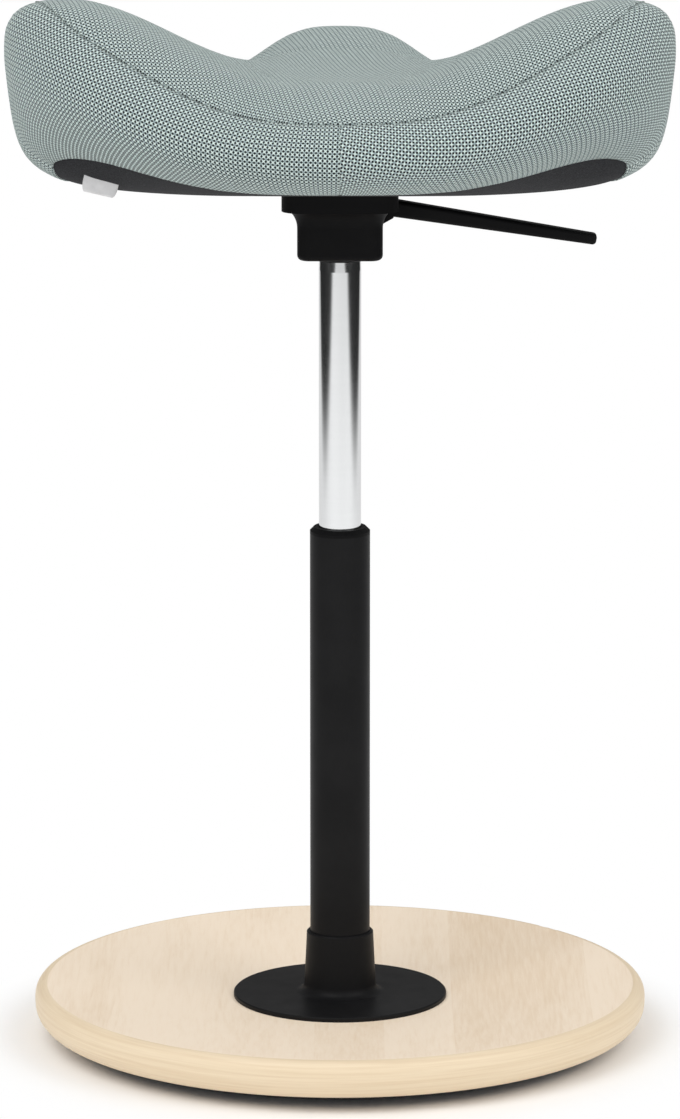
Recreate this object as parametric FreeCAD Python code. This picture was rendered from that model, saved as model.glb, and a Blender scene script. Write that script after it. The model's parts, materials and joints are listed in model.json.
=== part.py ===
"""Perch stool: a saddle seat on a gas-lift column with a tilting round base.

Millimetres, +Z up, origin on the floor under the middle of the base.
The sitter's back is towards -Y, the pommel points to +Y and the height lever to +X.
"""
import FreeCAD, Part
import math
import os
from FreeCAD import Vector

# Base disc: dished plywood over a rubber sole with a flat middle and a rising edge
disc_radius = 205.0
disc_thickness = 23.0
disc_land_radius = 76.0
dish_rise = 10.1
rim_top_round = 8.0
rim_low_round = 14.0
sole_thickness = 3.0
sole_flat_radius = 90.0
sole_rise = 6.7
sole_margin = 7.0

# Column foot: round flange with a collar, studs under it
flange_radius = 71.5
flange_thickness = 3.0
flange_edge_chamfer = 0.8
collar_height = 45.0
collar_top_wall = 2.3
collar_foot_wall = 4.0
collar_fillet = 6.0
collar_lip_chamfer = 0.9
stud_radius = 4.0
stud_circle_radius = 50.0
stud_count = 4
stud_clearance = 0.3
nut_across_flats = 13.0
nut_height = 6.5
washer_radius = 8.0
washer_thickness = 1.6
counterbore_radius = 11.0
counterbore_depth = 11.0
stud_tail = 1.6

# Outer tube, its end plate, top cap and guide bush
tube_radius = 20.0
tube_wall = 1.8
tube_top = 343.0
tube_bottom = 12.0
end_plate_thickness = 3.0
cap_height = 4.5
cap_bevel = 2.6
bush_length = 80.0

# Gas spring
cylinder_radius = 14.0
cylinder_wall = 1.5
cylinder_length = 391.0
cylinder_bottom = 164.0
taper_length = 35.0
taper_narrowing = 0.88
pressure_tube_radius = 11.2
pressure_tube_wall = 1.2
rod_radius = 5.0
rod_tail_radius = 4.0
rod_guide_length = 26.0
valve_body_length = 42.0
piston_length = 15.0
piston_gap_below = 5.0
max_rise = 120.0
running_clearance = 0.05
free_clearance = 0.35
seal_width = 5.0
seal_depth = 2.0

# Thrust bearing and stop under the rod
race_radius = 12.0
race_thickness = 1.5
roller_radius = 1.1
roller_length = 5.5
roller_circle_radius = 8.0
roller_count = 12
cage_thickness = 1.4
bump_stop_height = 10.0
clip_thickness = 1.0
clip_radius = 7.0
clip_groove_depth = 0.8
clip_washer_thickness = 1.6
clip_washer_gap = 0.15

# Valve pin and lever
pin_radius = 3.0
pin_length = 30.0
pin_gap = 0.3
pivot_x = 26.0
pivot_z = 562.7
pivot_radius = 2.5
pivot_span = 24.0
lever_droop = 8.9
lever_inner_length = 30.0
lever_outer_length = 144.5
lever_root_height = 11.4
lever_tip_height = 7.2
lever_heel_height = 8.0
lever_root_width = 13.0
lever_tip_width = 11.0
lever_corner = 2.6
lever_play = 0.7
lever_window_top = 570.0

# Mechanism under the seat: steel plate with a socket, moulded cover around it
mechanism_top = 577.5
plate_side = 68.0
plate_thickness = 3.0
plate_corner = 9.0
cheek_thickness = 3.0
cheek_half_length = 18.0
cheek_nose = 4.5
socket_wall = 3.0
socket_rim_side = 42.0
socket_rim_height = 3.0
cover_block_side = 76.6
cover_block_corner = 13.0
cover_block_height = 14.7
cover_boss_side = 56.2
cover_boss_corner = 8.0
cover_bottom = 529.4
cover_flare_height = 12.0
cover_flare_radius = 15.0
cover_bottom_round = 3.5
cover_wall = 2.5
cover_ring_radius = 18.5
cover_ring_drop = 2.2
bulge_reach = 36.2
bulge_width = 31.0
bulge_wall = 2.2
bulge_low = 10.1
cover_rib_thickness = 2.0

# Seat bolts
bolt_radius = 3.0
bolt_spread = 26.0
bolt_head_radius = 5.0
bolt_head_height = 4.0
bolt_length = 12.5
bolt_washer_radius = 6.5
bolt_washer_thickness = 1.0
tee_barrel_radius = 4.0
tee_flange_radius = 9.0
tee_flange_thickness = 1.2

# Seat cushion, measured over the cloth
seat_half_width = 217.0
seat_widest_y = -45.0
seat_tip_z = 668.0
seat_rear_reach = 120.0
seat_front_reach = 138.0
pommel_reach = 92.0
pommel_half_width = 62.0
belly_z = 578.0
rear_hem_z = 591.0
front_hem_z = 594.0
rear_seam_z = 637.0
front_seam_z = 622.0
rear_crest_z = 655.0
saddle_z = 650.5
front_crest_z = 627.0
pommel_rise = 40.0
wing_rise = 54.0
cover_thickness = 4.0
seat_shell_thickness = 9.0
shell_half_length = 178.0
chords_per_bow = 4
liner_half_length = 184.0
liner_inset = 4.0
panel_half_length = 188.0
panel_seam_inset = 1.5
liner_window = 80.0

# Ribbon tab sewn to the liner
tab_width = 23.0
tab_drop = 15.0
tab_loop = 4.0
tab_ribbon = 0.9
tab_x = -152.0
tab_y = -88.0
tab_z = 597.5
tab_lean = 15.0

floor_z = 0.0
disc_bottom = floor_z + sole_thickness
disc_top = disc_bottom + disc_thickness
collar_top = disc_top + collar_height
cylinder_top = cylinder_bottom + cylinder_length
end_plate_top = tube_bottom + end_plate_thickness
cylinder_bore = cylinder_radius - cylinder_wall
pressure_bore = pressure_tube_radius - pressure_tube_wall
tube_bore = tube_radius - tube_wall
cover_block_bottom = mechanism_top - cover_block_height
plate_bottom = mechanism_top - plate_thickness
UP = Vector(0, 0, 1)


def save(name, shape):
    """Write one piece to its own file."""
    shape.exportStep("parts/" + name + ".step")


def ring(inner, outer, low, high):
    """A plain ring, or a disc when inner is zero."""
    solid = Part.makeCylinder(outer, high - low, Vector(0, 0, low))
    if inner > 0:
        solid = solid.cut(Part.makeCylinder(inner, high - low, Vector(0, 0, low)))
    return solid


def cone(low_radius, high_radius, low, high):
    """A solid cone between two heights."""
    return Part.makeCone(low_radius, high_radius, high - low, Vector(0, 0, low))


def spun(edges):
    """Turn a closed profile in the XZ plane about the Z axis."""
    face = Part.Face(Part.Wire(Part.__sortEdges__(edges)))
    return face.revolve(Vector(0, 0, 0), UP, 360)


def line(a, b):
    """Edge between two (radius, height) points."""
    return Part.makeLine(Vector(a[0], 0, a[1]), Vector(b[0], 0, b[1]))


def bow(a, through, b):
    """Arc through three (radius, height) points."""
    points = [Vector(p[0], 0, p[1]) for p in (a, through, b)]
    return Part.Arc(*points).toShape()


def round_middle(corner, a, b):
    """Middle point of the quarter-like arc that rounds a corner between a and b."""
    share = math.sqrt(0.5)
    return (corner[0] + (a[0] + b[0] - 2 * corner[0]) * (1 - share),
            corner[1] + (a[1] + b[1] - 2 * corner[1]) * (1 - share))


def around(shape, count, start_angle=0.0):
    """Copies of a shape evenly spaced about the Z axis."""
    copies = []
    for index in range(count):
        copy = shape.copy()
        copy.rotate(Vector(0, 0, 0), UP, start_angle + 360.0 * index / count)
        copies.append(copy)
    return copies


def square_wire(side, corner, height, grow=0.0):
    """Rounded square outline at a height."""
    half = side / 2 + grow
    radius = corner + grow
    flat = half - radius
    edges = []
    for turn in range(4):
        angle = math.radians(90 * turn)
        c, s = math.cos(angle), math.sin(angle)

        def place(x, y):
            return Vector(x * c - y * s, x * s + y * c, height)

        edges.append(Part.makeLine(place(half, -flat), place(half, flat)))
        swing = radius * math.sqrt(0.5)
        turned = Part.Arc(place(half, flat), place(flat + swing, flat + swing), place(flat, half))
        edges.append(turned.toShape())
    return Part.Wire(edges)


def square_block(side, corner, low, high, grow=0.0):
    """Rounded square prism between two heights."""
    return Part.Face(square_wire(side, corner, low, grow)).extrude(Vector(0, 0, high - low))


def base_disc():
    """Disc with a sloping dish and a rounded edge, bored for the column and its studs."""
    low_rim = (disc_radius - rim_low_round, disc_bottom + sole_rise)
    low_side = (disc_radius, disc_bottom + sole_rise + rim_low_round)
    rim_top = disc_top + dish_rise
    high_side = (disc_radius, rim_top - rim_top_round)
    high_rim = (disc_radius - rim_top_round, rim_top)
    land = (disc_land_radius, disc_top)
    foot = (sole_flat_radius, disc_bottom)
    edges = [
        line((0, disc_bottom), foot),
        line(foot, low_rim),
        bow(low_rim, round_middle((disc_radius, low_rim[1]), low_rim, low_side), low_side),
        line(low_side, high_side),
        bow(high_side, round_middle((disc_radius, rim_top), high_side, high_rim), high_rim),
        line(high_rim, land),
        line(land, (0, disc_top)),
        line((0, disc_top), (0, disc_bottom)),
    ]
    disc = spun(edges)
    tools = [ring(0, tube_radius + free_clearance, disc_bottom, disc_top)]
    at_stud = Vector(stud_circle_radius, 0, disc_bottom)
    hole = Part.makeCylinder(stud_radius + stud_clearance, disc_thickness, at_stud)
    bore = Part.makeCylinder(counterbore_radius, counterbore_depth, at_stud)
    tools += around(hole.fuse(bore), stud_count, 45)
    return disc.cut(tools)


def rubber_sole():
    """Sheet under the disc: flat in the middle, rising with the disc towards its edge."""
    slope = sole_rise / (disc_radius - rim_low_round - sole_flat_radius)
    run = disc_radius - rim_low_round - sole_margin - sole_flat_radius
    top_edge = (sole_flat_radius + run, disc_bottom + run * slope)
    low_edge = (top_edge[0], top_edge[1] - sole_thickness)
    edges = [
        line((0, floor_z), (sole_flat_radius, floor_z)),
        line((sole_flat_radius, floor_z), low_edge),
        line(low_edge, top_edge),
        line(top_edge, (sole_flat_radius, disc_bottom)),
        line((sole_flat_radius, disc_bottom), (0, disc_bottom)),
        line((0, disc_bottom), (0, floor_z)),
    ]
    return spun(edges)


def column_flange():
    """Round plate, conical collar with a fillet at its foot, and studs below."""
    plate_top = disc_top + flange_thickness
    rim = (flange_radius, disc_top)
    rim_up = (flange_radius, plate_top - flange_edge_chamfer)
    rim_in = (flange_radius - flange_edge_chamfer, plate_top)
    foot_radius = tube_radius + collar_foot_wall
    top_radius = tube_radius + collar_top_wall
    flare_out = (foot_radius + collar_fillet, plate_top)
    flare_up = (foot_radius, plate_top + collar_fillet)
    lip_side = (top_radius, collar_top - collar_lip_chamfer)
    lip_in = (top_radius - collar_lip_chamfer, collar_top)
    flare_middle = round_middle((foot_radius, plate_top), flare_out, flare_up)
    edges = [
        line((tube_radius, disc_top), rim),
        line(rim, rim_up),
        line(rim_up, rim_in),
        line(rim_in, flare_out),
        bow(flare_out, flare_middle, flare_up),
        line(flare_up, lip_side),
        line(lip_side, lip_in),
        line(lip_in, (tube_radius, collar_top)),
        line((tube_radius, collar_top), (tube_radius, disc_top)),
    ]
    flange = spun(edges)
    stud_bottom = disc_bottom + stud_tail
    stud = Part.makeCylinder(stud_radius, disc_top - stud_bottom + flange_thickness / 2,
                             Vector(stud_circle_radius, 0, stud_bottom))
    return flange.fuse(around(stud, stud_count, 45)).removeSplitter()


def hexagon(across_flats, low, high, x=0.0):
    """Hexagonal prism standing at a distance along X."""
    radius = across_flats / math.sqrt(3)
    corners = []
    for turn in range(7):
        angle = math.radians(60 * turn)
        corners.append(Vector(x + radius * math.cos(angle), radius * math.sin(angle), low))
    return Part.Face(Part.makePolygon(corners)).extrude(Vector(0, 0, high - low))


def flange_fasteners():
    """Washers and nuts on the studs, sunk in the disc's counterbores."""
    seat = disc_bottom + counterbore_depth
    washer_low = seat - washer_thickness
    nut_low = washer_low - nut_height
    at_x = Vector(stud_circle_radius, 0, 0)
    washer = ring(stud_radius, washer_radius, washer_low, seat).translated(at_x)
    nut = hexagon(nut_across_flats, nut_low, washer_low)
    nut = nut.cut(ring(0, stud_radius, nut_low, washer_low)).translated(at_x)
    washers = Part.Compound(around(washer, stud_count, 45))
    nuts = Part.Compound(around(nut, stud_count, 45))
    return washers, nuts


def tube_cap():
    """Bevelled ring that closes the tube's mouth around the cylinder."""
    inner = cylinder_radius + free_clearance
    top = tube_top + cap_height
    side = (tube_radius, top - cap_bevel)
    crown = (tube_radius - cap_bevel, top)
    edges = [
        line((inner, tube_top), (tube_radius, tube_top)),
        line((tube_radius, tube_top), side),
        line(side, crown),
        line(crown, (inner, top)),
        line((inner, top), (inner, tube_top)),
    ]
    return spun(edges)


def bearing():
    """Races, rollers and cage of the thrust bearing that the rod turns on."""
    low = end_plate_top
    inner = rod_tail_radius + free_clearance
    lower_race = ring(inner, race_radius, low, low + race_thickness)
    axle_z = low + race_thickness + roller_radius
    start = Vector(roller_circle_radius - roller_length / 2, 0, axle_z)
    roller = Part.makeCylinder(roller_radius, roller_length, start, Vector(1, 0, 0))
    rollers = Part.Compound(around(roller, roller_count))
    cage = ring(inner, race_radius - 0.4, axle_z - cage_thickness / 2, axle_z + cage_thickness / 2)
    pocket = Part.makeBox(roller_length + 0.4, 2 * roller_radius + 0.2, cage_thickness,
                          Vector(start.x - 0.2, -roller_radius - 0.1, axle_z - cage_thickness / 2))
    cage = cage.cut(around(pocket, roller_count))
    upper_low = axle_z + roller_radius + running_clearance
    upper_race = ring(rod_tail_radius, race_radius, upper_low, upper_low + race_thickness)
    return lower_race, rollers, cage, upper_race, upper_low + race_thickness


def piston_place():
    """Lower and upper height of the piston, clear of the rod guide at full height."""
    low = cylinder_bottom + rod_guide_length + max_rise + piston_gap_below
    return low, low + piston_length


def piston_rod(shoulder):
    """Rod from the clip under the end plate up to the piston."""
    tail_low = tube_bottom - clip_washer_thickness - clip_washer_gap - 3 * clip_thickness
    groove_top = tube_bottom - clip_washer_thickness - clip_washer_gap
    piston_top = piston_place()[1]
    rod = ring(0, rod_radius, shoulder, piston_top + 1.0)
    tail = ring(0, rod_tail_radius, tail_low, shoulder)
    groove_radius = rod_tail_radius - clip_groove_depth
    groove = ring(groove_radius, rod_tail_radius + 1, groove_top - clip_thickness, groove_top)
    return rod.fuse(tail).cut(groove).removeSplitter()


def rod_clip():
    """Snap ring with an open gap in the rod's groove, and the washer above it."""
    washer_low = tube_bottom - clip_washer_thickness - clip_washer_gap
    washer = ring(rod_tail_radius, clip_radius + 1, washer_low, tube_bottom - clip_washer_gap)
    groove_radius = rod_tail_radius - clip_groove_depth
    clip = ring(groove_radius, clip_radius, washer_low - clip_thickness, washer_low)
    gap = Part.makeBox(clip_radius + 1, groove_radius * 1.6, clip_thickness,
                       Vector(0, -groove_radius * 0.8, washer_low - clip_thickness))
    return clip.cut(gap), washer


def piston_parts():
    """Grooved piston and the seal in its groove."""
    low, high = piston_place()
    outer = pressure_bore - running_clearance
    seal_low = (low + high - seal_width) / 2
    seal = ring(outer - seal_depth, outer, seal_low, seal_low + seal_width)
    piston = ring(rod_radius, outer, low, high).cut(seal)
    return piston, seal


def gas_cylinder():
    """Steel cylinder with a tapered head, a rolled-in foot and a hole for the valve pin."""
    taper_low = cylinder_top - taper_length
    head_radius = cylinder_radius - taper_narrowing
    body = ring(0, cylinder_radius, cylinder_bottom, taper_low)
    body = body.fuse(cone(cylinder_radius, head_radius, taper_low, cylinder_top))
    cavity = ring(0, cylinder_bore, cylinder_bottom + cylinder_wall, taper_low)
    neck = cone(cylinder_bore, head_radius - cylinder_wall, taper_low, cylinder_top - 2 * cylinder_wall)
    foot_hole = ring(0, cylinder_bore - 2 * cylinder_wall, cylinder_bottom, cylinder_bottom + cylinder_wall)
    head_hole = ring(0, pin_radius + free_clearance, cylinder_top - 2 * cylinder_wall, cylinder_top)
    return body.cut([cavity, neck, foot_hole, head_hole]).removeSplitter()


def cylinder_inside():
    """Rod guide with its seal, pressure tube and valve body."""
    low = cylinder_bottom + cylinder_wall
    guide_top = cylinder_bottom + rod_guide_length
    guide = ring(rod_radius + running_clearance, cylinder_bore, low, guide_top)
    taper_low = cylinder_top - taper_length
    valve_high = cylinder_top - 2 * cylinder_wall
    valve_low = valve_high - valve_body_length
    tube = ring(pressure_bore, pressure_tube_radius, guide_top, valve_low)
    head_radius = cylinder_radius - taper_narrowing
    valve = ring(0, cylinder_bore, valve_low, taper_low)
    valve = valve.fuse(cone(cylinder_bore, head_radius - cylinder_wall, taper_low, valve_high))
    pin_bore = ring(0, pin_radius + running_clearance, valve_low + 6.0, valve_high)
    return guide, tube, valve.cut(pin_bore).removeSplitter()


def lever_height_at(reach):
    """Half height of the lever at a distance outward from its pivot."""
    if reach < 0:
        share = -reach / lever_inner_length
        return (lever_root_height + (lever_heel_height - lever_root_height) * share) / 2
    share = reach / lever_outer_length
    return (lever_root_height + (lever_tip_height - lever_root_height) * share) / 2


def lever():
    """Tapered lever arm with rounded edges, drilled for its pivot and drooping at rest."""
    heel, tip = lever_heel_height / 2, lever_tip_height / 2
    root, side = lever_root_height / 2, lever_root_width / 2
    profile = [(-lever_inner_length, -heel), (0, -root), (lever_outer_length, -tip),
               (lever_outer_length, tip), (0, root), (-lever_inner_length, heel)]
    upright = [Vector(x, -side, z) for x, z in profile]
    arm = Part.Face(Part.makePolygon(upright + upright[:1])).extrude(Vector(0, 2 * side, 0))
    plan = [(-lever_inner_length, -side), (lever_outer_length, -lever_tip_width / 2),
            (lever_outer_length, lever_tip_width / 2), (-lever_inner_length, side)]
    flat = [Vector(x, y, -root) for x, y in plan]
    arm = arm.common(Part.Face(Part.makePolygon(flat + flat[:1])).extrude(Vector(0, 0, 2 * root)))
    arm = arm.removeSplitter()
    rounded = [edge for edge in arm.Edges
               if edge.BoundBox.XLength > 20 or edge.BoundBox.XMin > lever_outer_length - 0.01]
    arm = arm.makeFillet(lever_corner, rounded)
    hole = Part.makeCylinder(pivot_radius + running_clearance, lever_root_width * 2,
                             Vector(0, -lever_root_width, 0), Vector(0, 1, 0))
    arm = arm.cut(hole)
    arm.rotate(Vector(0, 0, 0), Vector(0, 1, 0), lever_droop)
    return arm.translated(Vector(pivot_x, 0, pivot_z))


def lever_underside(x):
    """Height of the resting lever's underside over a place between pivot and heel."""
    slope = math.tan(math.radians(lever_droop))
    reach = (x - pivot_x) / math.cos(math.radians(lever_droop))
    middle = pivot_z - (x - pivot_x) * slope
    return middle - lever_height_at(reach) / math.cos(math.radians(lever_droop))


def valve_pin():
    """Pin with a bevelled head that the lever's heel presses."""
    top = lever_underside(pin_radius) - pin_gap
    bevel = pin_radius * 0.3
    shank = ring(0, pin_radius, top - pin_length, top - bevel)
    return shank.fuse(cone(pin_radius, pin_radius - bevel, top - bevel, top)).removeSplitter()


def mechanism_plate():
    """Steel plate with bolt holes and two cheeks that join the socket and carry the lever's pivot."""
    plate = square_block(plate_side, plate_corner, plate_bottom, mechanism_top)
    nose = pivot_x + cheek_nose
    outline = [(-cheek_half_length, cylinder_top), (cheek_half_length, cylinder_top),
               (nose, pivot_z - cheek_nose), (nose, plate_bottom), (-cheek_half_length, plate_bottom)]
    inner_y = lever_root_width / 2 + free_clearance
    points = [Vector(x, inner_y, z) for x, z in outline]
    cheek = Part.Face(Part.makePolygon(points + points[:1])).extrude(Vector(0, cheek_thickness, 0))
    far_cheek = cheek.translated(Vector(0, -2 * inner_y - cheek_thickness, 0))
    hole = Part.makeCylinder(bolt_radius + free_clearance, plate_thickness,
                             Vector(bolt_spread, 0, plate_bottom))
    body = plate.fuse([cheek, far_cheek]).cut([pivot_solid(pivot_radius, pivot_span)] + at_seat_bolts(hole))
    return body.removeSplitter()


def at_seat_bolts(shape):
    """Copies of a shape drawn at (bolt_spread, 0), moved to the four bolt corners."""
    copies = []
    for sx in (-1, 1):
        for sy in (-1, 1):
            copies.append(shape.translated(Vector(sx * bolt_spread - bolt_spread, sy * bolt_spread, 0)))
    return copies


def pivot_solid(radius, span):
    """Pin along Y through the lever's pivot."""
    return Part.makeCylinder(radius, span, Vector(pivot_x, -span / 2, pivot_z), Vector(0, 1, 0))


def pivot_clips():
    """Push-on clips at both ends of the pivot pin."""
    thickness = 1.0
    inner_y = lever_root_width / 2 + free_clearance + cheek_thickness
    clip = Part.makeCylinder(pivot_radius * 1.8, thickness, Vector(pivot_x, inner_y, pivot_z),
                             Vector(0, 1, 0))
    far_clip = clip.translated(Vector(0, -2 * inner_y - thickness, 0))
    pin = pivot_solid(pivot_radius, pivot_span)
    return Part.Compound([clip.cut(pin), far_clip.cut(pin)])


def cylinder_socket():
    """Steel socket whose tapered bore holds the cylinder's head, with a square rim on top."""
    taper_low = cylinder_top - taper_length
    head_radius = cylinder_radius - taper_narrowing
    body = ring(0, cylinder_radius + socket_wall, cover_bottom + cover_wall + 1, cylinder_top)
    rim = square_block(socket_rim_side, 6, cylinder_top - socket_rim_height, cylinder_top)
    return body.fuse(rim).cut(cone(cylinder_radius, head_radius, taper_low, cylinder_top)).removeSplitter()


def cover_outside():
    """Outer form of the moulded cover: square boss that flares into a square block."""
    boss = square_block(cover_boss_side, cover_boss_corner, cover_bottom, mechanism_top)
    foot = [edge for edge in boss.Edges if edge.BoundBox.ZMax < cover_bottom + 0.01]
    boss = boss.makeFillet(cover_bottom_round, foot)
    wires = []
    for share in (0.0, 0.25, 0.5, 0.75, 1.0):
        climb = share * cover_flare_height
        grow = cover_flare_radius - math.sqrt(cover_flare_radius ** 2 - climb ** 2)
        height = cover_block_bottom - cover_flare_height + climb
        wires.append(square_wire(cover_boss_side, cover_boss_corner, height, grow))
    flare = Part.makeLoft(wires, True, False)
    block = square_block(cover_block_side, cover_block_corner, cover_block_bottom, mechanism_top)
    return boss.fuse([flare, block]).removeSplitter()


def side_prism(outline, width):
    """Prism across Y from an outline of (x, z) points."""
    points = [Vector(x, -width / 2, z) for x, z in outline]
    return Part.Face(Part.makePolygon(points + points[:1])).extrude(Vector(0, width, 0))


def bulge_outline(inset):
    """Wedge that swells from the boss under the lever; inset gives its hollow."""
    half_boss = cover_boss_side / 2
    low = cover_block_bottom - bulge_low + inset
    reach = bulge_reach - inset
    return [(half_boss - cover_wall - 1, low), (half_boss, low), (reach - 1.3, low + 3.8),
            (reach, low + 6.8), (reach, cover_block_bottom + 1 + inset),
            (half_boss - cover_wall - 1, cover_block_bottom + 1 + inset)]


def lever_window():
    """Slot through the cover that follows the underside of the resting lever."""
    near, far = cover_boss_side / 2 - cover_wall - 3, cover_block_side / 2 + 3
    outline = [(near, lever_underside(near) - 1), (far, lever_underside(far) - 1),
               (far, lever_window_top), (near, lever_window_top)]
    return side_prism(outline, lever_root_width + 2 * lever_play)


def mechanism_cover():
    """Moulded cover: a wall all round, open on top, with ribs and a window for the lever."""
    outside = cover_outside().fuse(side_prism(bulge_outline(0), bulge_width)).removeSplitter()
    floor = cover_bottom + cover_wall
    boss_room = square_block(cover_boss_side, cover_boss_corner, floor, mechanism_top, -cover_wall)
    block_floor = cover_block_bottom + cover_wall
    block_room = square_block(cover_block_side, cover_block_corner, block_floor, mechanism_top, -cover_wall)
    bulge_room = side_prism(bulge_outline(bulge_wall), bulge_width - 2 * bulge_wall)
    bore = ring(0, cover_ring_radius + running_clearance, cover_bottom, floor)
    cover = outside.cut([boss_room, block_room, bulge_room, bore, lever_window()])
    socket_outer = cylinder_radius + socket_wall + 0.5
    rib_top = cylinder_top - socket_rim_height - 0.5
    rib_length = cover_boss_side / 2 - cover_wall - socket_outer + 1
    rib = Part.makeBox(rib_length, cover_rib_thickness, rib_top - floor + 1,
                       Vector(socket_outer, -cover_rib_thickness / 2, floor - 1))
    rib = rib.cut(bore)
    return cover.fuse(around(rib, 4)[1:]).removeSplitter()


def cover_ring():
    """Soft ring between the cover's mouth and the cylinder."""
    low = cover_bottom - cover_ring_drop
    body = ring(cylinder_radius, cover_ring_radius, low, cover_bottom + cover_wall)
    rims = [edge for edge in body.Edges
            if edge.BoundBox.ZMax < low + 0.01 and edge.BoundBox.XMax > cover_ring_radius - 0.01]
    body = body.makeChamfer(0.6, rims)
    taper_low = cylinder_top - taper_length
    head_radius = cylinder_radius - taper_narrowing
    return body.cut(cone(cylinder_radius, head_radius, taper_low, cylinder_top))


def seat_bolts():
    """Bolts, washers and tee nuts that hold the plate to the seat shell, and the nuts' bores."""
    at_bolt = Vector(bolt_spread, 0, 0)
    head_top = plate_bottom - bolt_washer_thickness
    head_low = head_top - bolt_head_height
    head = ring(0, bolt_head_radius, head_low, head_top)
    bolt = head.cut(hexagon(5.0, head_low, head_low + bolt_head_height / 2))
    bolt = bolt.fuse(ring(0, bolt_radius, head_top, head_top + bolt_length)).removeSplitter()
    washer = ring(bolt_radius, bolt_washer_radius, head_top, plate_bottom)
    seat = mechanism_top + seat_shell_thickness - 2.5
    barrel = ring(bolt_radius, tee_barrel_radius, mechanism_top + 1.0, seat)
    tee_flange = ring(bolt_radius, tee_flange_radius, seat, seat + tee_flange_thickness)
    tee = barrel.fuse(tee_flange).removeSplitter()
    bore = ring(0, tee_barrel_radius, mechanism_top, seat).fuse(ring(0, tee_flange_radius, seat, seat + 8))
    sets = [at_seat_bolts(piece.translated(at_bolt)) for piece in (bolt, washer, tee, bore)]
    return Part.Compound(sets[0]), Part.Compound(sets[1]), Part.Compound(sets[2]), sets[3]


def closing(share, power, root):
    """Falls from one at the middle to nought at the seat's tip."""
    return max(1 - min(share, 1.0) ** power, 0.0) ** root


def rising(x, reach, power):
    """Climbs smoothly from nought in the middle to one at a distance."""
    share = min(abs(x) / reach, 1.0) ** power
    return math.sin(math.pi / 2 * share) ** 2


def seat_points(x):
    """Twelve (y, z) points around the cushion's fore-and-aft section at x.

    They run from the rear hem up the rear side, over the crown and down the front
    side to the front hem, and end at the belly.
    """
    away = abs(x)
    share = away / seat_half_width
    rear_close = closing(share, 2.6, 0.5)
    front_close = closing(share, 2.2, 0.6)
    top_close = closing(share, 12, 0.27)
    low_close = closing(share, 6, 0.27 + 0.5 * share ** 60)
    pommel = math.exp(-(away / pommel_half_width) ** 2.6)
    lift = rising(x, seat_half_width * 0.9, 1.45)

    def high(z):
        return seat_tip_z + (z - seat_tip_z) * top_close

    def low(z):
        return seat_tip_z + (z - seat_tip_z) * low_close

    rear = seat_widest_y - seat_rear_reach * rear_close
    front = seat_widest_y + seat_front_reach * front_close + pommel_reach * pommel
    hem_lift = rising(x, seat_half_width * 0.81, 1.7)
    rear_hem = (rear + 22 * rear_close, low(rear_hem_z + 20 * hem_lift))
    rear_side = (rear, low(rear_seam_z - 26 + 30 * lift))
    rear_seam = (rear + (14 + 26 * lift) * rear_close, high(rear_seam_z + 64 * lift))
    rear_crest_y = rear + (60 + 10 * lift) * rear_close
    rear_crest = (rear_crest_y, high(rear_crest_z + 51 * rising(x, seat_half_width * 0.866, 1.25)))
    rear_edge = (0.55 * rear_seam[0] + 0.45 * rear_crest_y,
                 rear_seam[1] + 0.68 * (rear_crest[1] - rear_seam[1]))
    pommel_crown = math.exp(-(away / pommel_half_width) ** 3.2)
    front_crest_y = front - (85 * pommel + 62 * (1 - pommel)) * front_close
    front_crest = (front_crest_y, high(front_crest_z + pommel_rise * pommel_crown
                                       + 62 * rising(x, seat_half_width * 0.92, 1.25)))
    middle = ((rear_crest_y + front_crest_y) / 2,
              high(saddle_z + wing_rise * rising(x, seat_half_width * 0.857, 1.17)))
    front_seam = (front - (20 + 4 * lift) * front_close, high(front_seam_z + 24 * pommel + 44 * lift))
    front_edge = (0.5 * (front_seam[0] + front_crest_y) + 4 * front_close,
                  front_seam[1] + 0.72 * (front_crest[1] - front_seam[1]))
    front_side = (front, low(front_hem_z + 18 + 8 * pommel + 20 * lift))
    front_hem = (front - 24 * front_close, low(front_hem_z + 4 * pommel + 14 * hem_lift))
    belly = ((rear_hem[0] + front_hem[0]) / 2, low(belly_z))
    return [rear_hem, rear_side, rear_seam, rear_edge, rear_crest, middle,
            front_crest, front_edge, front_seam, front_side, front_hem, belly]


def inset_points(points, inset):
    """Move each point of a closed outline inwards, square to its neighbours' chord."""
    if inset == 0:
        return points
    moved = []
    count = len(points)
    for index, (y, z) in enumerate(points):
        before = points[index - 1]
        after = points[(index + 1) % count]
        dy, dz = after[0] - before[0], after[1] - before[1]
        length = math.hypot(dy, dz)
        moved.append((y + inset * dz / length, z - inset * dy / length))
    return moved


def seat_outline(x, inset):
    """Run of points round the section: six bows, each divided into short chords."""
    place_x = x * (seat_half_width - inset) / seat_half_width
    corners = [Vector(place_x, y, z) for y, z in inset_points(seat_points(x), inset)]
    outline = []
    for start in range(0, 12, 2):
        bowed = Part.Arc(corners[start], corners[start + 1], corners[(start + 2) % 12])
        outline += bowed.discretize(chords_per_bow + 1)[:-1]
    return outline


def seat_stations():
    """Section places across the seat, closer together towards the tips."""
    half = (0.14, 0.28, 0.42, 0.56, 0.70, 0.82, 0.90, 0.955, 0.985, 0.997)
    right = [share * seat_half_width for share in half]
    return [-x for x in reversed(right)] + [0.0] + right


def cushion():
    """The cushion's whole form, smooth from side to side."""
    rows = [seat_outline(x, 0.0) for x in seat_stations()]
    return Part.makeLoft([Part.makePolygon(row + row[:1]) for row in rows], True, False)


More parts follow.
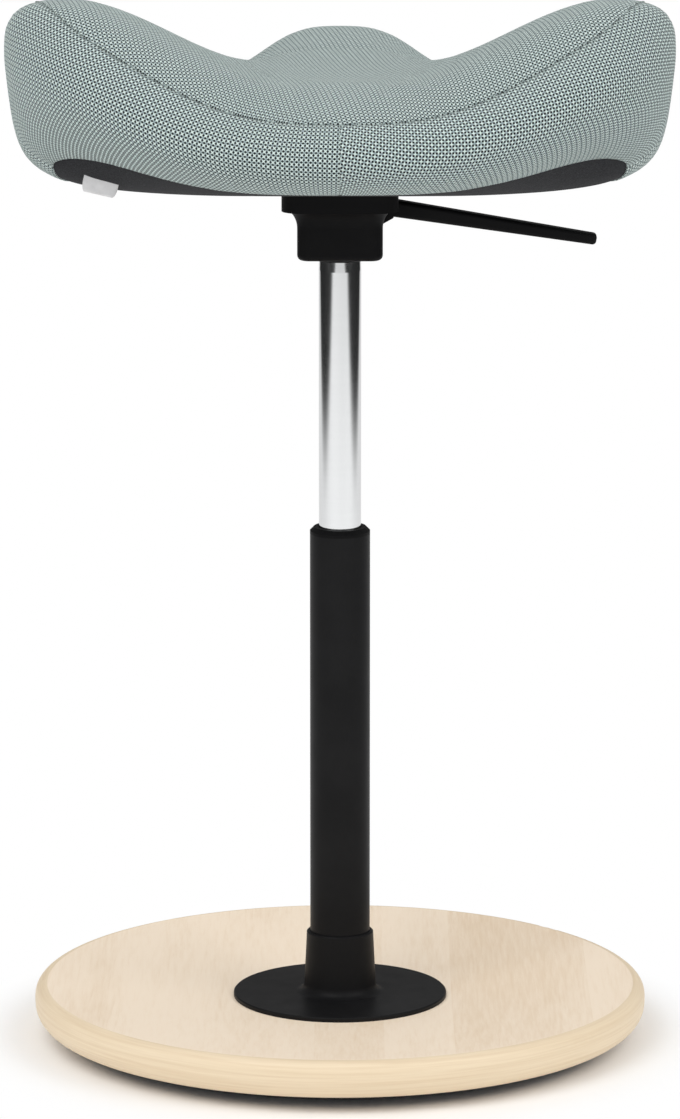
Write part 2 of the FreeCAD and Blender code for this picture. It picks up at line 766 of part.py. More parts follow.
def faceted(rows):
    """Solid of flat triangles between neighbouring rows of points, closed by its end rows."""
    faces = [Part.Face(Part.makePolygon(row + row[:1])) for row in (rows[0], rows[-1])]
    for near, far in zip(rows, rows[1:]):
        for index in range(len(near)):
            here, back = near[index], near[index - 1]
            for side in ([here, far[index]], [far[index], far[index - 1]]):
                faces.append(Part.Face(Part.makePolygon([back] + side + [back])))
    solid = Part.Solid(Part.Shell(faces))
    return solid if solid.Volume > 0 else solid.reversed()


def padding():
    """Form inside the cover, drawn in by the cover's thickness; hidden, so left in plain facets."""
    return faceted([seat_outline(x, cover_thickness) for x in seat_stations()[1:-1]])


def plan_block(rear_index, front_index, half_length, inset, low, high):
    """Upright block whose plan follows two lines of the seat and closes at its ends."""
    wires = []
    for share in (-1.0, -0.99, -0.96, -0.9, -0.8, -0.5, 0.0, 0.5, 0.8, 0.9, 0.96, 0.99, 1.0):
        x = share * half_length
        points = seat_points(x)
        squeeze = closing(abs(share) * 0.998, 14, 0.5)
        middle = (points[rear_index][0] + points[front_index][0]) / 2
        rear = middle + (points[rear_index][0] + inset - middle) * squeeze
        front = middle + (points[front_index][0] - inset - middle) * squeeze
        corners = [Vector(x, y, z) for y, z in ((rear, low), (front, low), (front, high), (rear, high))]
        wires.append(Part.makePolygon(corners + [corners[0]]))
    return Part.makeLoft(wires, True, False)


def shell_slab():
    """Everything below the seat shell's upper face, as wide as the shell."""
    rows = []
    for share in (-1.0, -0.85, -0.7, -0.5, -0.25, 0.0, 0.25, 0.5, 0.7, 0.85, 1.0):
        x = share * shell_half_length
        points = seat_points(x)
        raised = [Vector(x, y, z + seat_shell_thickness) for y, z in (points[0], points[11], points[10])]
        rear, belly, front = raised
        top = Part.Arc(rear - Vector(0, 30, 0), belly, front + Vector(0, 30, 0)).discretize(9)
        bottom = belly_z - 60
        rows.append(top + [Vector(x, top[-1].y, bottom), Vector(x, top[0].y, bottom)])
    return faceted(rows)


def seat_pieces(nut_bores):
    """Shell, foam, liner, top panel and the two side bands of the cushion."""
    inside = padding()
    skin = Part.Solid(Part.Compound([cushion().Shells[0], inside.Shells[0].reversed()]))
    slab = shell_slab()
    half = liner_window / 2
    pad = Part.makeBox(2 * half, 2 * half, seat_shell_thickness, Vector(-half, -half, mechanism_top))
    opening = Part.makeBox(2 * half, 2 * half, 40, Vector(-half, -half, mechanism_top - 40)).fuse(pad)
    shell = inside.common(slab).fuse(pad).cut(nut_bores)
    foam = inside.cut([slab, pad])
    hem_block = plan_block(0, 10, liner_half_length, liner_inset, belly_z - 40, rear_seam_z - 15)
    top_block = plan_block(2, 8, panel_half_length, panel_seam_inset, rear_seam_z - 15, seat_tip_z + 90)
    liner = skin.common(hem_block).cut(opening)
    top_panel = skin.common(top_block)
    band = skin.cut([hem_block, top_block])
    reach = seat_half_width * 2
    left_half = Part.makeBox(reach, 2 * reach, 2 * reach, Vector(-reach, -reach, belly_z - reach))
    return shell, foam, liner, top_panel, band.common(left_half), band.cut(left_half)


def ribbon_tab():
    """Folded ribbon loop that hangs from the liner, left bare."""
    outer = Part.makeBox(tab_width, tab_loop, tab_drop, Vector(-tab_width / 2, -tab_loop / 2, -tab_drop))
    inner = Part.makeBox(tab_width, tab_loop - 2 * tab_ribbon, tab_drop - tab_ribbon,
                         Vector(-tab_width / 2, -tab_loop / 2 + tab_ribbon, -tab_drop + tab_ribbon))
    folds = [edge for edge in outer.Edges
             if edge.BoundBox.ZMax < -tab_drop + 0.01 and edge.BoundBox.XLength > 1]
    loop = outer.makeFillet(tab_loop * 0.45, folds).cut(inner)
    loop.rotate(Vector(0, 0, 0), Vector(0, 1, 0), tab_lean)
    return loop.translated(Vector(tab_x, tab_y, tab_z)).cut(cushion())


def main():
    """Build every piece and write it to its own file."""
    os.makedirs("parts", exist_ok=True)
    save("base_disc", base_disc())
    save("rubber_sole", rubber_sole())
    save("column_flange", column_flange())
    washers, nuts = flange_fasteners()
    save("flange_washers", washers)
    save("flange_nuts", nuts)
    save("outer_tube", ring(tube_bore, tube_radius, tube_bottom, tube_top))
    save("tube_end_plate", ring(rod_tail_radius + running_clearance, tube_bore, tube_bottom, end_plate_top))
    save("tube_cap", tube_cap())
    bush_bore = cylinder_radius + running_clearance
    save("guide_bush", ring(bush_bore, tube_bore, tube_top - bush_length, tube_top))
    lower_race, rollers, cage, upper_race, shoulder = bearing()
    save("bearing_lower_race", lower_race)
    save("bearing_rollers", rollers)
    save("bearing_cage", cage)
    save("bearing_upper_race", upper_race)
    save("piston_rod", piston_rod(shoulder))
    save("bump_stop", ring(rod_radius, race_radius, shoulder + 0.2, shoulder + 0.2 + bump_stop_height))
    clip, clip_washer = rod_clip()
    save("rod_clip", clip)
    save("rod_clip_washer", clip_washer)
    piston, seal = piston_parts()
    save("piston", piston)
    save("piston_seal", seal)
    save("gas_cylinder", gas_cylinder())
    guide, pressure_tube, valve_body = cylinder_inside()
    save("rod_guide", guide)
    save("pressure_tube", pressure_tube)
    save("valve_body", valve_body)
    save("valve_pin", valve_pin())
    save("lever_arm", lever())
    save("lever_pivot_pin", pivot_solid(pivot_radius, pivot_span))
    save("pivot_clips", pivot_clips())
    save("mechanism_plate", mechanism_plate())
    save("cylinder_socket", cylinder_socket())
    save("mechanism_cover", mechanism_cover())
    save("cover_ring", cover_ring())
    bolts, bolt_washers, tee_nuts, nut_bores = seat_bolts()
    save("seat_bolts", bolts)
    save("seat_bolt_washers", bolt_washers)
    save("tee_nuts", tee_nuts)
    shell, foam, liner, top_panel, left, right = seat_pieces(nut_bores)
    save("seat_shell", shell)
    save("seat_foam", foam)
    save("underside_liner", liner)
    save("cover_top_panel", top_panel)
    save("cover_left_band", left)
    save("cover_right_band", right)
    save("ribbon_tab", ribbon_tab())


main()
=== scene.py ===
"""Perch stool: cloth, finishes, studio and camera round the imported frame.

Metres, +Z up, origin on the floor under the middle of the base. The sitter's back is
towards -Y, the pommel points to +Y and the height lever to +X.
"""
import json
import logging
import math
from dataclasses import dataclass
from enum import Enum
from typing import Dict, List, Optional, Sequence, Tuple, Union

import bpy
import numpy as np
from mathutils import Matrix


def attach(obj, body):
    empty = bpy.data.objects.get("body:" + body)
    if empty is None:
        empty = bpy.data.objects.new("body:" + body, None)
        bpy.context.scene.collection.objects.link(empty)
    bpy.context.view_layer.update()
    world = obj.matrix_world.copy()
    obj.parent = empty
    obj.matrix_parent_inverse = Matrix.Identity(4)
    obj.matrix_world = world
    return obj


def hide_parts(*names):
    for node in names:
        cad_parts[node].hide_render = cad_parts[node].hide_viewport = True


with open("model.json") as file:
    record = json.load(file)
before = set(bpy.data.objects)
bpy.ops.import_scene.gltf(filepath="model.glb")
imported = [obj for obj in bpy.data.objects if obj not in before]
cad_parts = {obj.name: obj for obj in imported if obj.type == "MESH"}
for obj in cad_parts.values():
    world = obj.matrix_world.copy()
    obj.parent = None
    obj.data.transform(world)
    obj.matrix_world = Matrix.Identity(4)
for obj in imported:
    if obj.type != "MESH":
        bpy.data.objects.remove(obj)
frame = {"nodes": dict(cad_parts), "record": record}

LOG = logging.getLogger("perch_stool")
MM = 0.001
Array = np.ndarray
Colour = Tuple[float, float, float]
Pair = Tuple[float, float]
Value = Union[float, "Wire"]
Inputs = Dict[Union[int, str], object]


# Shader graphs

class Wire:
    """A node's output that takes part in sums."""

    def __init__(self, graph: "Graph", socket: bpy.types.NodeSocket) -> None:
        """Keep the socket and the graph that it is in."""
        self.graph = graph
        self.socket = socket

    def maths(self, operation: str, *values: Value) -> "Wire":
        """Add a Math node.

        Args:
            operation: the Math node's operation.
            values: numbers or wires for its inputs, in order.
        Returns:
            The node's output.
        """
        return self.graph.node("ShaderNodeMath", {"operation": operation}, dict(enumerate(values)))

    def __add__(self, other: Value) -> "Wire":
        """Sum."""
        return self.maths("ADD", self, other)

    __radd__ = __add__

    def __sub__(self, other: Value) -> "Wire":
        """Difference."""
        return self.maths("SUBTRACT", self, other)

    def __rsub__(self, other: Value) -> "Wire":
        """Difference from a number."""
        return self.maths("SUBTRACT", other, self)

    def __mul__(self, other: Value) -> "Wire":
        """Product."""
        return self.maths("MULTIPLY", self, other)

    __rmul__ = __mul__

    def __truediv__(self, other: Value) -> "Wire":
        """Quotient."""
        return self.maths("DIVIDE", self, other)

    def __pow__(self, other: Value) -> "Wire":
        """Power."""
        return self.maths("POWER", self, other)

    def __abs__(self) -> "Wire":
        """Size without sign."""
        return self.maths("ABSOLUTE", self)

    def sine(self) -> "Wire":
        """Sine of an angle in radians."""
        return self.maths("SINE", self)

    def whole(self) -> "Wire":
        """Whole number below."""
        return self.maths("FLOOR", self)

    def highest(self, other: Value) -> "Wire":
        """The larger of two values."""
        return self.maths("MAXIMUM", self, other)

    def ramp(self, low: float, high: float) -> "Wire":
        """Smooth step from 0 at low to 1 at high."""
        return self.graph.node("ShaderNodeMapRange", {"interpolation_type": "SMOOTHSTEP"},
                               {"Value": self, "From Min": low, "From Max": high})

    def stretched(self, scale: Sequence[float]) -> "Wire":
        """Vector multiplied axis by axis."""
        return self.graph.node("ShaderNodeVectorMath", {"operation": "MULTIPLY"}, {0: self, 1: tuple(scale)})

    def axes(self) -> List["Wire"]:
        """The three components of a vector."""
        parts = self.graph.node("ShaderNodeSeparateXYZ", {}, {0: self}).socket.node
        return [Wire(self.graph, socket) for socket in parts.outputs]


class Graph:
    """The node tree of one finish."""

    def __init__(self, name: str) -> None:
        """Make an empty material with a Principled shader on its output."""
        self.material = bpy.data.materials.new(name)
        self.material.use_nodes = True
        self.tree = self.material.node_tree
        self.tree.nodes.clear()
        self.shader = self.tree.nodes.new("ShaderNodeBsdfPrincipled")
        output = self.tree.nodes.new("ShaderNodeOutputMaterial")
        self.tree.links.new(self.shader.outputs[0], output.inputs["Surface"])

    def node(self, kind: str, settings: Dict[str, object], inputs: Inputs,
             output: Union[int, str] = 0) -> Wire:
        """Add a node, set its settings, then its sockets.

        Args:
            kind: the node's type name.
            settings: attributes set before the sockets.
            inputs: numbers, tuples or wires by socket index or name.
            output: which output the returned wire leaves from.
        Returns:
            A wire from that output.
        """
        made = self.tree.nodes.new(kind)
        for key, value in settings.items():
            setattr(made, key, value)
        self.fill(made, inputs)
        return Wire(self, made.outputs[output])

    def fill(self, made: bpy.types.Node, inputs: Inputs) -> None:
        """Set or link a node's sockets."""
        for key, value in inputs.items():
            if isinstance(value, Wire):
                self.tree.links.new(value.socket, made.inputs[key])
            else:
                made.inputs[key].default_value = value

    def place(self) -> Wire:
        """Object coordinates, which are the frame's metres."""
        return self.node("ShaderNodeTexCoord", {}, {}, "Object")

    def cloth_place(self) -> Wire:
        """Own UV map of a cloth piece, in metres along the cloth."""
        return self.node("ShaderNodeUVMap", {"uv_map": "cloth"}, {})

    def ray(self, kind: str) -> Wire:
        """Whether the present ray is of a kind, such as Camera or Glossy."""
        return self.node("ShaderNodeLightPath", {}, {}, f"Is {kind} Ray")

    def noise(self, place: Wire, scale: float, detail: float = 3.0, roughness: float = 0.55) -> Wire:
        """Noise from 0 to 1 with a given count of features to the metre."""
        return self.node("ShaderNodeTexNoise", {}, {"Vector": place, "Scale": scale, "Detail": detail,
                                                    "Roughness": roughness})

    def blend(self, factor: Value, first: Union[Colour, Wire], second: Union[Colour, Wire]) -> Wire:
        """Mix two colours."""
        made = self.tree.nodes.new("ShaderNodeMix")
        made.data_type = "RGBA"
        colours = [value if isinstance(value, Wire) else (*value, 1.0) for value in (first, second)]
        self.fill(made, {0: factor, 6: colours[0], 7: colours[1]})
        return Wire(self, made.outputs[2])

    def relief(self, height: Wire, depth: float, strength: float = 1.0, under: Optional[Wire] = None) -> Wire:
        """Bump from a height of 0 to 1 that stands for a depth in metres."""
        inputs: Inputs = {"Height": height, "Distance": depth, "Strength": strength}
        if under is not None:
            inputs["Normal"] = under
        return self.node("ShaderNodeBump", {}, inputs)

    def lit(self, factor: Wire) -> None:
        """Cover the Principled shader by plain white light where the factor is one."""
        glow = self.node("ShaderNodeEmission", {}, {"Strength": 1.0})
        plain = Wire(self, self.shader.outputs[0])
        both = self.node("ShaderNodeMixShader", {}, {0: factor, 1: plain, 2: glow})
        output = next(node for node in self.tree.nodes if node.type == "OUTPUT_MATERIAL")
        self.tree.links.new(both.socket, output.inputs["Surface"])

    def done(self, **sockets: object) -> bpy.types.Material:
        """Feed the Principled shader and hand the material over.

        Args:
            sockets: values or wires by socket name, with underscores for spaces.
        Returns:
            The finished material.
        """
        named = {key.replace("_", " "): value for key, value in sockets.items()}
        for key, value in named.items():
            if isinstance(value, tuple) and len(value) == 3:
                named[key] = (*value, 1.0)
        self.fill(self.shader, named)
        return self.material


class Sky(Graph):
    """The node tree of the surroundings."""

    def __init__(self, tree: bpy.types.NodeTree) -> None:
        """Take the world's own tree as it is."""
        self.tree = tree


def srgb(red: float, green: float, blue: float) -> Colour:
    """Linear colour of an 8-bit display colour."""
    shares = [channel / 255 for channel in (red, green, blue)]
    return tuple(share / 12.92 if share <= 0.04045 else ((share + 0.055) / 1.055) ** 2.4 for share in shares)


def shaded(colour: Colour, share: float, lift: float = 0.0) -> Colour:
    """A colour times a share, lifted a little towards white."""
    return tuple(share * channel + lift for channel in colour)


# Finishes

@dataclass(frozen=True)
class PowderCoat:
    """Satin black coating with the fine orange-peel of a sprayed tube."""
    name: str = "powder_coat"
    colour: Colour = srgb(22, 22, 23)
    rubbed: Colour = srgb(28, 28, 29)
    shine: float = 0.09
    peel_count: float = 1400
    cloud_count: float = 18
    haze_count: float = 60
    peel_depth: float = 0.05 * MM

    def build(self) -> bpy.types.Material:
        """Make the material."""
        graph = Graph(self.name)
        place = graph.place()
        peel = graph.noise(place, self.peel_count, 2)
        cloud = graph.noise(place, self.cloud_count, 3)
        haze = graph.noise(place, self.haze_count, 4)
        colour = graph.blend(cloud.ramp(0.35, 0.75), self.colour, self.rubbed)
        return graph.done(Base_Color=colour, Roughness=0.36 + 0.12 * haze,
                          Normal=graph.relief(peel, self.peel_depth, 0.35), Specular_IOR_Level=self.shine)


@dataclass(frozen=True)
class MouldedPlastic:
    """Moulded plastic with a fine spark-eroded grain."""
    name: str
    colour: Colour
    roughness: float = 0.42
    grain: float = 0.06 * MM
    shine: float = 0.5
    grain_count: float = 1900
    cloud_count: float = 26

    def build(self) -> bpy.types.Material:
        """Make the material."""
        graph = Graph(self.name)
        place = graph.place()
        grain = graph.noise(place, self.grain_count, 3, 0.7)
        cloud = graph.noise(place, self.cloud_count, 3)
        rubbed = shaded(self.colour, 0.9, 0.004)
        return graph.done(Base_Color=graph.blend(cloud.ramp(0.4, 0.8), self.colour, rubbed),
                          Roughness=self.roughness + 0.1 * (cloud - 0.5),
                          Normal=graph.relief(grain, self.grain, 0.5), Specular_IOR_Level=self.shine)


@dataclass(frozen=True)
class BrightMetal:
    """Bare or plated metal with fine marks that run round or along the piece."""
    name: str
    colour: Colour
    roughness: float
    marks: Sequence[float] = (40.0, 40.0, 900.0)
    depth: float = 0.01 * MM
    streak: float = 0.6
    haze_count: float = 14

    def build(self) -> bpy.types.Material:
        """Make the material."""
        graph = Graph(self.name)
        place = graph.place()
        lines = graph.noise(place.stretched(self.marks), 1.0, 4, 0.6)
        haze = graph.noise(place, self.haze_count, 3)
        marked = lines.ramp(0.3, 0.75) * self.streak
        colour = graph.blend(marked, self.colour, shaded(self.colour, 0.82))
        return graph.done(Base_Color=colour, Metallic=1.0,
                          Roughness=self.roughness + 0.05 * (haze - 0.5) + 0.04 * lines,
                          Normal=graph.relief(lines, self.depth, 0.4))


@dataclass(frozen=True)
class Veneer:
    """Pale lacquered ash: strips of veneer on the disc's face, ply lines round its edge."""
    name: str = "ash_veneer"
    face: Colour = srgb(254, 236, 213)
    face_dark: Colour = srgb(238, 214, 184)
    edge: Colour = srgb(240, 221, 191)
    edge_dark: Colour = srgb(227, 204, 171)
    border: float = 197 * MM
    strip: float = 46 * MM
    strip_shift: float = 0.37
    grain_count: float = 420
    figure_count: float = 34
    pore_count: float = 1500
    relief_depth: float = 0.06 * MM

    def build(self) -> bpy.types.Material:
        """Make the material."""
        graph = Graph(self.name)
        place = graph.place()
        x, y, z = place.axes()
        radius = (x * x + y * y) ** 0.5
        strip_number = (x / self.strip + self.strip_shift).whole()
        strip_tone = graph.node("ShaderNodeTexWhiteNoise", {"noise_dimensions": "1D"}, {"W": strip_number})
        grain = graph.noise(place.stretched((1.0, 0.05, 1.0)), self.grain_count, 5, 0.62)
        figure = graph.noise(place.stretched((1.0, 0.12, 1.0)), self.figure_count, 3, 0.5)
        pores = graph.noise(place.stretched((1.0, 0.03, 1.0)), self.pore_count, 2, 0.5).ramp(0.56, 0.74)
        tone = grain * 0.6 + figure * 0.4 + strip_tone * 0.22
        face = graph.blend(tone.ramp(0.42, 0.95), self.face, self.face_dark)
        face = graph.blend(pores * 0.16, face, self.face_dark)
        turn = graph.node("ShaderNodeMath", {"operation": "ARCTAN2"}, {0: y, 1: x})
        edge_place = graph.node("ShaderNodeCombineXYZ", {}, {0: turn * 0.2, 1: radius, 2: z})
        layers = graph.noise(edge_place.stretched((12.0, 300.0, 700.0)), 1.0, 4, 0.6)
        edge = graph.blend(layers.ramp(0.25, 0.85), self.edge, self.edge_dark)
        on_edge = radius.ramp(self.border - 0.4 * MM, self.border + 0.4 * MM)
        low = 1 - z.ramp(3 * MM, 8 * MM)
        on_edge = on_edge.highest(low)
        colour = graph.blend(on_edge, face, edge)
        height = graph.node("ShaderNodeMix", {}, {0: on_edge, 2: grain - 0.6 * pores, 3: layers})
        return graph.done(Base_Color=colour, Roughness=0.42 + 0.14 * grain,
                          Normal=graph.relief(height, self.relief_depth, 0.5), Specular_IOR_Level=0.4)


@dataclass(frozen=True)
class Rubber:
    """Matte black rubber."""
    name: str
    colour: Colour = srgb(30, 30, 31)
    dust_count: float = 70
    grain_count: float = 900
    grain_depth: float = 0.08 * MM

    def build(self) -> bpy.types.Material:
        """Make the material."""
        graph = Graph(self.name)
        place = graph.place()
        dust = graph.noise(place, self.dust_count, 4)
        grain = graph.noise(place, self.grain_count)
        colour = graph.blend(dust.ramp(0.5, 0.85), self.colour, shaded(self.colour, 1.8, 0.004))
        return graph.done(Base_Color=colour, Roughness=0.7 + 0.2 * dust, Specular_IOR_Level=0.15,
                          Normal=graph.relief(grain, self.grain_depth, 0.5))


@dataclass(frozen=True)
class Weave:
    """Plain weave of thick two-tone yarns, with painted shade in the gaps at their corners."""
    name: str
    turn: float
    pitch: float = 2.1 * MM
    yarn: Colour = srgb(228, 243, 239)
    weft: Colour = srgb(164, 181, 181)
    # near black: the painted shade in the gaps, and the tone of random dark fibres in the yarn
    dark_fibre_and_gap_shade: Colour = srgb(14, 20, 24)
    wander: float = 0.35
    lift: float = 0.45
    gap_size: float = 3.5
    fibre_count: float = 2600
    slub_count: float = 420
    yarn_depth: float = 0.42 * MM

    def build(self) -> bpy.types.Material:
        """Make the material."""
        graph = Graph(self.name)
        place = graph.cloth_place()
        turned = graph.node("ShaderNodeVectorRotate", {"rotation_type": "Z_AXIS"},
                            {"Vector": place, "Angle": math.radians(self.turn)})
        wander = graph.noise(place, 55, 2)
        u, v, _ = turned.axes()
        across = (u / self.pitch + self.wander * wander) * math.pi
        along = (v / self.pitch + self.wander * (1 - wander)) * math.pi
        sine_u, sine_v = across.sine(), along.sine()
        size_u, size_v = abs(sine_u), abs(sine_v)
        over = sine_u * sine_v
        warp = size_u + self.lift * over
        weft = size_v - self.lift * over
        height = warp.highest(weft)
        hole = 1 - size_u.highest(size_v)
        # mask of the painted shade: the gaps between the yarns, where the bump is lowest
        dark = (hole * self.gap_size).ramp(0.25, 0.9)
        fibre = graph.noise(place, self.fibre_count, 3, 0.7)
        slub = graph.noise(place, self.slub_count, 3, 0.6)
        yarn = graph.blend(over.ramp(-0.4, 0.4), self.weft, self.yarn)
        yarn = graph.blend(0.25 * fibre + 0.3 * (slub - 0.4), yarn, self.dark_fibre_and_gap_shade)
        # painted shade: the gaps darkened to near black
        colour = graph.blend(dark, yarn, self.dark_fibre_and_gap_shade)
        normal = graph.relief(height + 0.2 * fibre, self.yarn_depth, 0.85)
        return graph.done(Base_Color=colour, Roughness=0.82 + 0.12 * fibre, Normal=normal,
                          Sheen_Weight=0.32, Sheen_Roughness=0.45, Sheen_Tint=(0.86, 0.95, 0.93),
                          Specular_IOR_Level=0.15)


@dataclass(frozen=True)
class Felt:
    """Matted lining with short crossing fibres."""
    name: str
    colour: Colour = srgb(52, 53, 56)
    dark: Colour = srgb(26, 27, 30)
    fibre_count: float = 1500
    fibre_depth: float = 0.25 * MM

    def build(self) -> bpy.types.Material:
        """Make the material."""
        graph = Graph(self.name)
        place = graph.place()
        one = graph.noise(place.stretched((1.0, 0.25, 1.0)), self.fibre_count, 3)
        other = graph.noise(place.stretched((0.25, 1.0, 1.0)), self.fibre_count, 3)
        fibres = one.highest(other)
        return graph.done(Base_Color=graph.blend(fibres.ramp(0.4, 0.75), self.dark, self.colour),
                          Roughness=0.9, Sheen_Weight=0.04, Specular_IOR_Level=0.08,
                          Normal=graph.relief(fibres, self.fibre_depth, 0.7))


@dataclass(frozen=True)
class Ribbon:
    """Ribbed woven ribbon."""
    name: str
    colour: Colour = srgb(222, 222, 223)
    rib: float = 0.7 * MM
    rib_depth: float = 0.08 * MM
    slant: float = 0.27
    cloud_count: float = 160

    def build(self) -> bpy.types.Material:
        """Make the material."""
        graph = Graph(self.name)
        place = graph.place()
        x, _, z = place.axes()
        ribs = abs(((x + self.slant * z) * (math.pi / self.rib)).sine())
        worn = graph.noise(place, self.cloud_count, 3).ramp(0.3, 0.8) * 0.5
        return graph.done(Base_Color=graph.blend(worn, self.colour, shaded(self.colour, 0.72)),
                          Roughness=0.6, Sheen_Weight=0.2, Normal=graph.relief(ribs, self.rib_depth, 0.6))


@dataclass(frozen=True)
class Sponge:
    """Moulded foam with fine open cells, with painted shade in their hollows."""
    name: str = "foam"
    colour: Colour = srgb(236, 232, 214)
    cell_count: float = 700
    cell_depth: float = 0.4 * MM

    def build(self) -> bpy.types.Material:
        """Make the material."""
        graph = Graph(self.name)
        place = graph.place()
        cells = graph.node("ShaderNodeTexVoronoi", {}, {"Vector": place, "Scale": self.cell_count})
        # painted shade: each cell darker towards its middle, where the bump is lowest
        colour = graph.blend(cells.ramp(0.0, 0.5), shaded(self.colour, 0.6), self.colour)
        return graph.done(Base_Color=colour, Roughness=0.95, Normal=graph.relief(cells, self.cell_depth, 0.6))


@dataclass(frozen=True)
class Plywood:
    """Unfinished moulded plywood."""
    name: str = "moulded_ply"
    colour: Colour = srgb(216, 188, 148)
    grain_count: float = 380
    grain_depth: float = 0.1 * MM

    def build(self) -> bpy.types.Material:
        """Make the material."""
        graph = Graph(self.name)
        place = graph.place()
        grain = graph.noise(place.stretched((0.06, 1.0, 1.0)), self.grain_count, 4)
        colour = graph.blend(grain.ramp(0.35, 0.75), self.colour, shaded(self.colour, 0.7))
        return graph.done(Base_Color=colour, Roughness=0.7, Normal=graph.relief(grain, self.grain_depth, 0.5))


# Mesh grids

def as_mesh(name: str, rows: Array, wrap: bool = False) -> bpy.types.Object:
    """Object whose faces join neighbouring points of a grid.

    Args:
        name: the piece's name.
        rows: points, shaped (rows, columns, 3).
        wrap: whether the last column joins the first.
    Returns:
        The new object, linked to the scene.
    """
    count, width = rows.shape[:2]
    index = np.arange(count * width).reshape(count, width)
    if wrap:
        index = np.concatenate([index, index[:, :1]], axis=1)
    quads = np.stack([index[:-1, :-1], index[:-1, 1:], index[1:, 1:], index[1:, :-1]], axis=-1).reshape(-1, 4)
    mesh = bpy.data.meshes.new(name)
    mesh.from_pydata(rows.reshape(-1, 3).tolist(), [], quads.tolist())
    mesh.update()
    made = bpy.data.objects.new(name, mesh)
    bpy.context.scene.collection.objects.link(made)
    made.data.shade_smooth()
    return made


def points_of(piece: bpy.types.Object) -> Array:
    """Vertex places of a mesh, shaped (count, 3)."""
    flat = np.empty(len(piece.data.vertices) * 3, np.float32)
    piece.data.vertices.foreach_get("co", flat)
    return flat.reshape(-1, 3).astype(float)


def move_points(piece: bpy.types.Object, places: Array) -> None:
    """Put a mesh's vertices at new places."""
    piece.data.vertices.foreach_set("co", places.astype(np.float32).ravel())
    piece.data.update()


def apply_modifiers(piece: bpy.types.Object) -> None:
    """Replace a piece's mesh by the one that its modifiers make."""
    graph = bpy.context.evaluated_depsgraph_get()
    graph.update()
    mesh = bpy.data.meshes.new_from_object(piece.evaluated_get(graph))
    old = piece.data
    piece.modifiers.clear()
    piece.data = mesh
    bpy.data.meshes.remove(old)


def modify(piece: bpy.types.Object, kind: str, **settings: object) -> None:
    """Give a piece a modifier with its settings, and apply it."""
    added = piece.modifiers.new(kind.lower(), kind)
    for key, value in settings.items():
        setattr(added, key, value)
    apply_modifiers(piece)


def thicken(piece: bpy.types.Object, thickness: float, offset: float) -> None:
    """Give a sheet its thickness: inwards with the offset at -1, to both sides at 0."""
    thick = piece.modifiers.new("thickness", "SOLIDIFY")
    thick.thickness = thickness
    thick.offset = offset


def weld(piece: bpy.types.Object, reach: float) -> None:
    """Merge points nearer together than reach."""
    modify(piece, "WELD", merge_threshold=reach)


def point_out(piece: bpy.types.Object) -> None:
    """Turn a closed mesh's faces outwards."""
    bpy.context.view_layer.objects.active = piece
    piece.select_set(True)
    bpy.ops.object.mode_set(mode="EDIT")
    bpy.ops.mesh.select_all(action="SELECT")
    bpy.ops.mesh.normals_make_consistent(inside=False)
    bpy.ops.object.mode_set(mode="OBJECT")
    piece.select_set(False)


def on_seat(piece: bpy.types.Object, node: str) -> None:
    """Let a piece ride on the seat in place of a CAD node, which it hides."""
    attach(piece, "seat")
    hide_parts(node)
    LOG.info("%s: %d points", piece.name, len(piece.data.vertices))


def side_to_side(half_length: float, count: int) -> Array:
    """Places from one side to the other, half length times the sine of even turns, so dense at both ends."""
    return half_length * np.sin(np.linspace(-np.pi / 2, np.pi / 2, count))


def spline_weights(knots: Array, places: Array) -> Array:
    """Weights that carry a smooth curve through its knots.

    The curve is the natural cubic spline: its second slope m solves a tridiagonal
    system in the knots' spacing, and each place mixes its two neighbours' values with
    their second slopes.

    Args:
        knots: rising parameters of the given points.
        places: parameters at which the curve is wanted.
    Returns:
        Matrix, shaped (places, knots), that turns point values into curve values.
    """
    count = len(knots)
    step = np.diff(knots)
    slope = np.eye(count)
    right = np.zeros((count, count))
    for k in range(1, count - 1):
        slope[k, k - 1:k + 2] = (step[k - 1], 2 * (step[k - 1] + step[k]), step[k])
        right[k, k - 1:k + 2] = (6 / step[k - 1], -6 / step[k - 1] - 6 / step[k], 6 / step[k])
    second = np.linalg.solve(slope, right)
    left = np.clip(np.searchsorted(knots, places, side="right") - 1, 0, count - 2)
    width = step[left][:, None]
    a = (knots[left + 1] - places)[:, None] / width
    b = 1 - a
    unit = np.eye(count)
    return (a * unit[left] + b * unit[left + 1]
            + ((a ** 3 - a) * second[left] + (b ** 3 - b) * second[left + 1]) * width ** 2 / 6)


def bowed(first: Array, middle: Array, last: Array, share: Array) -> Array:
    """Parabola through three points, for many lines at once.

    With m the first chord's share of both chords, the point at w is
    first (w - m)(w - 1) / m + middle w (w - 1) / (m (m - 1)) + last w (w - m) / (1 - m).

    Args:
        first: where the lines start, shaped (n, 3).
        middle: where they pass at w = m.
        last: where they end.
        share: the places w from 0 to 1, shaped (k,).
    Returns:
        Points, shaped (n, k, 3).
    """
    before = np.linalg.norm(middle - first, axis=-1)
    after = np.linalg.norm(last - middle, axis=-1)
    m = np.clip(before / np.maximum(before + after, 1e-9), 0.1, 0.9)[:, None, None]
    w = share[None, :, None]
    return (first[:, None] * (w - m) * (w - 1) / m + middle[:, None] * w * (w - 1) / (m * (m - 1))
            + last[:, None] * w * (w - m) / (1 - m))


def drawn_in(piece: bpy.types.Object, depth: float) -> None:
    """Move a closed mesh's points inwards by a depth, square to its surface."""
    normals = np.empty(len(piece.data.vertices) * 3, np.float32)
    piece.data.vertex_normals.foreach_get("vector", normals)
    move_points(piece, points_of(piece) - depth * normals.reshape(-1, 3))


def run_lengths(rows: Array, axis: int) -> Array:
    """Distance along a grid's lines from its middle line, in metres."""
    steps = np.linalg.norm(np.diff(rows, axis=axis), axis=-1)
    start = np.zeros_like(np.take(steps, [0], axis=axis))
    run = np.concatenate([start, np.cumsum(steps, axis=axis)], axis=axis)
    middle = np.take(run, [run.shape[axis] // 2], axis=axis)
    return run - middle


# The cushion

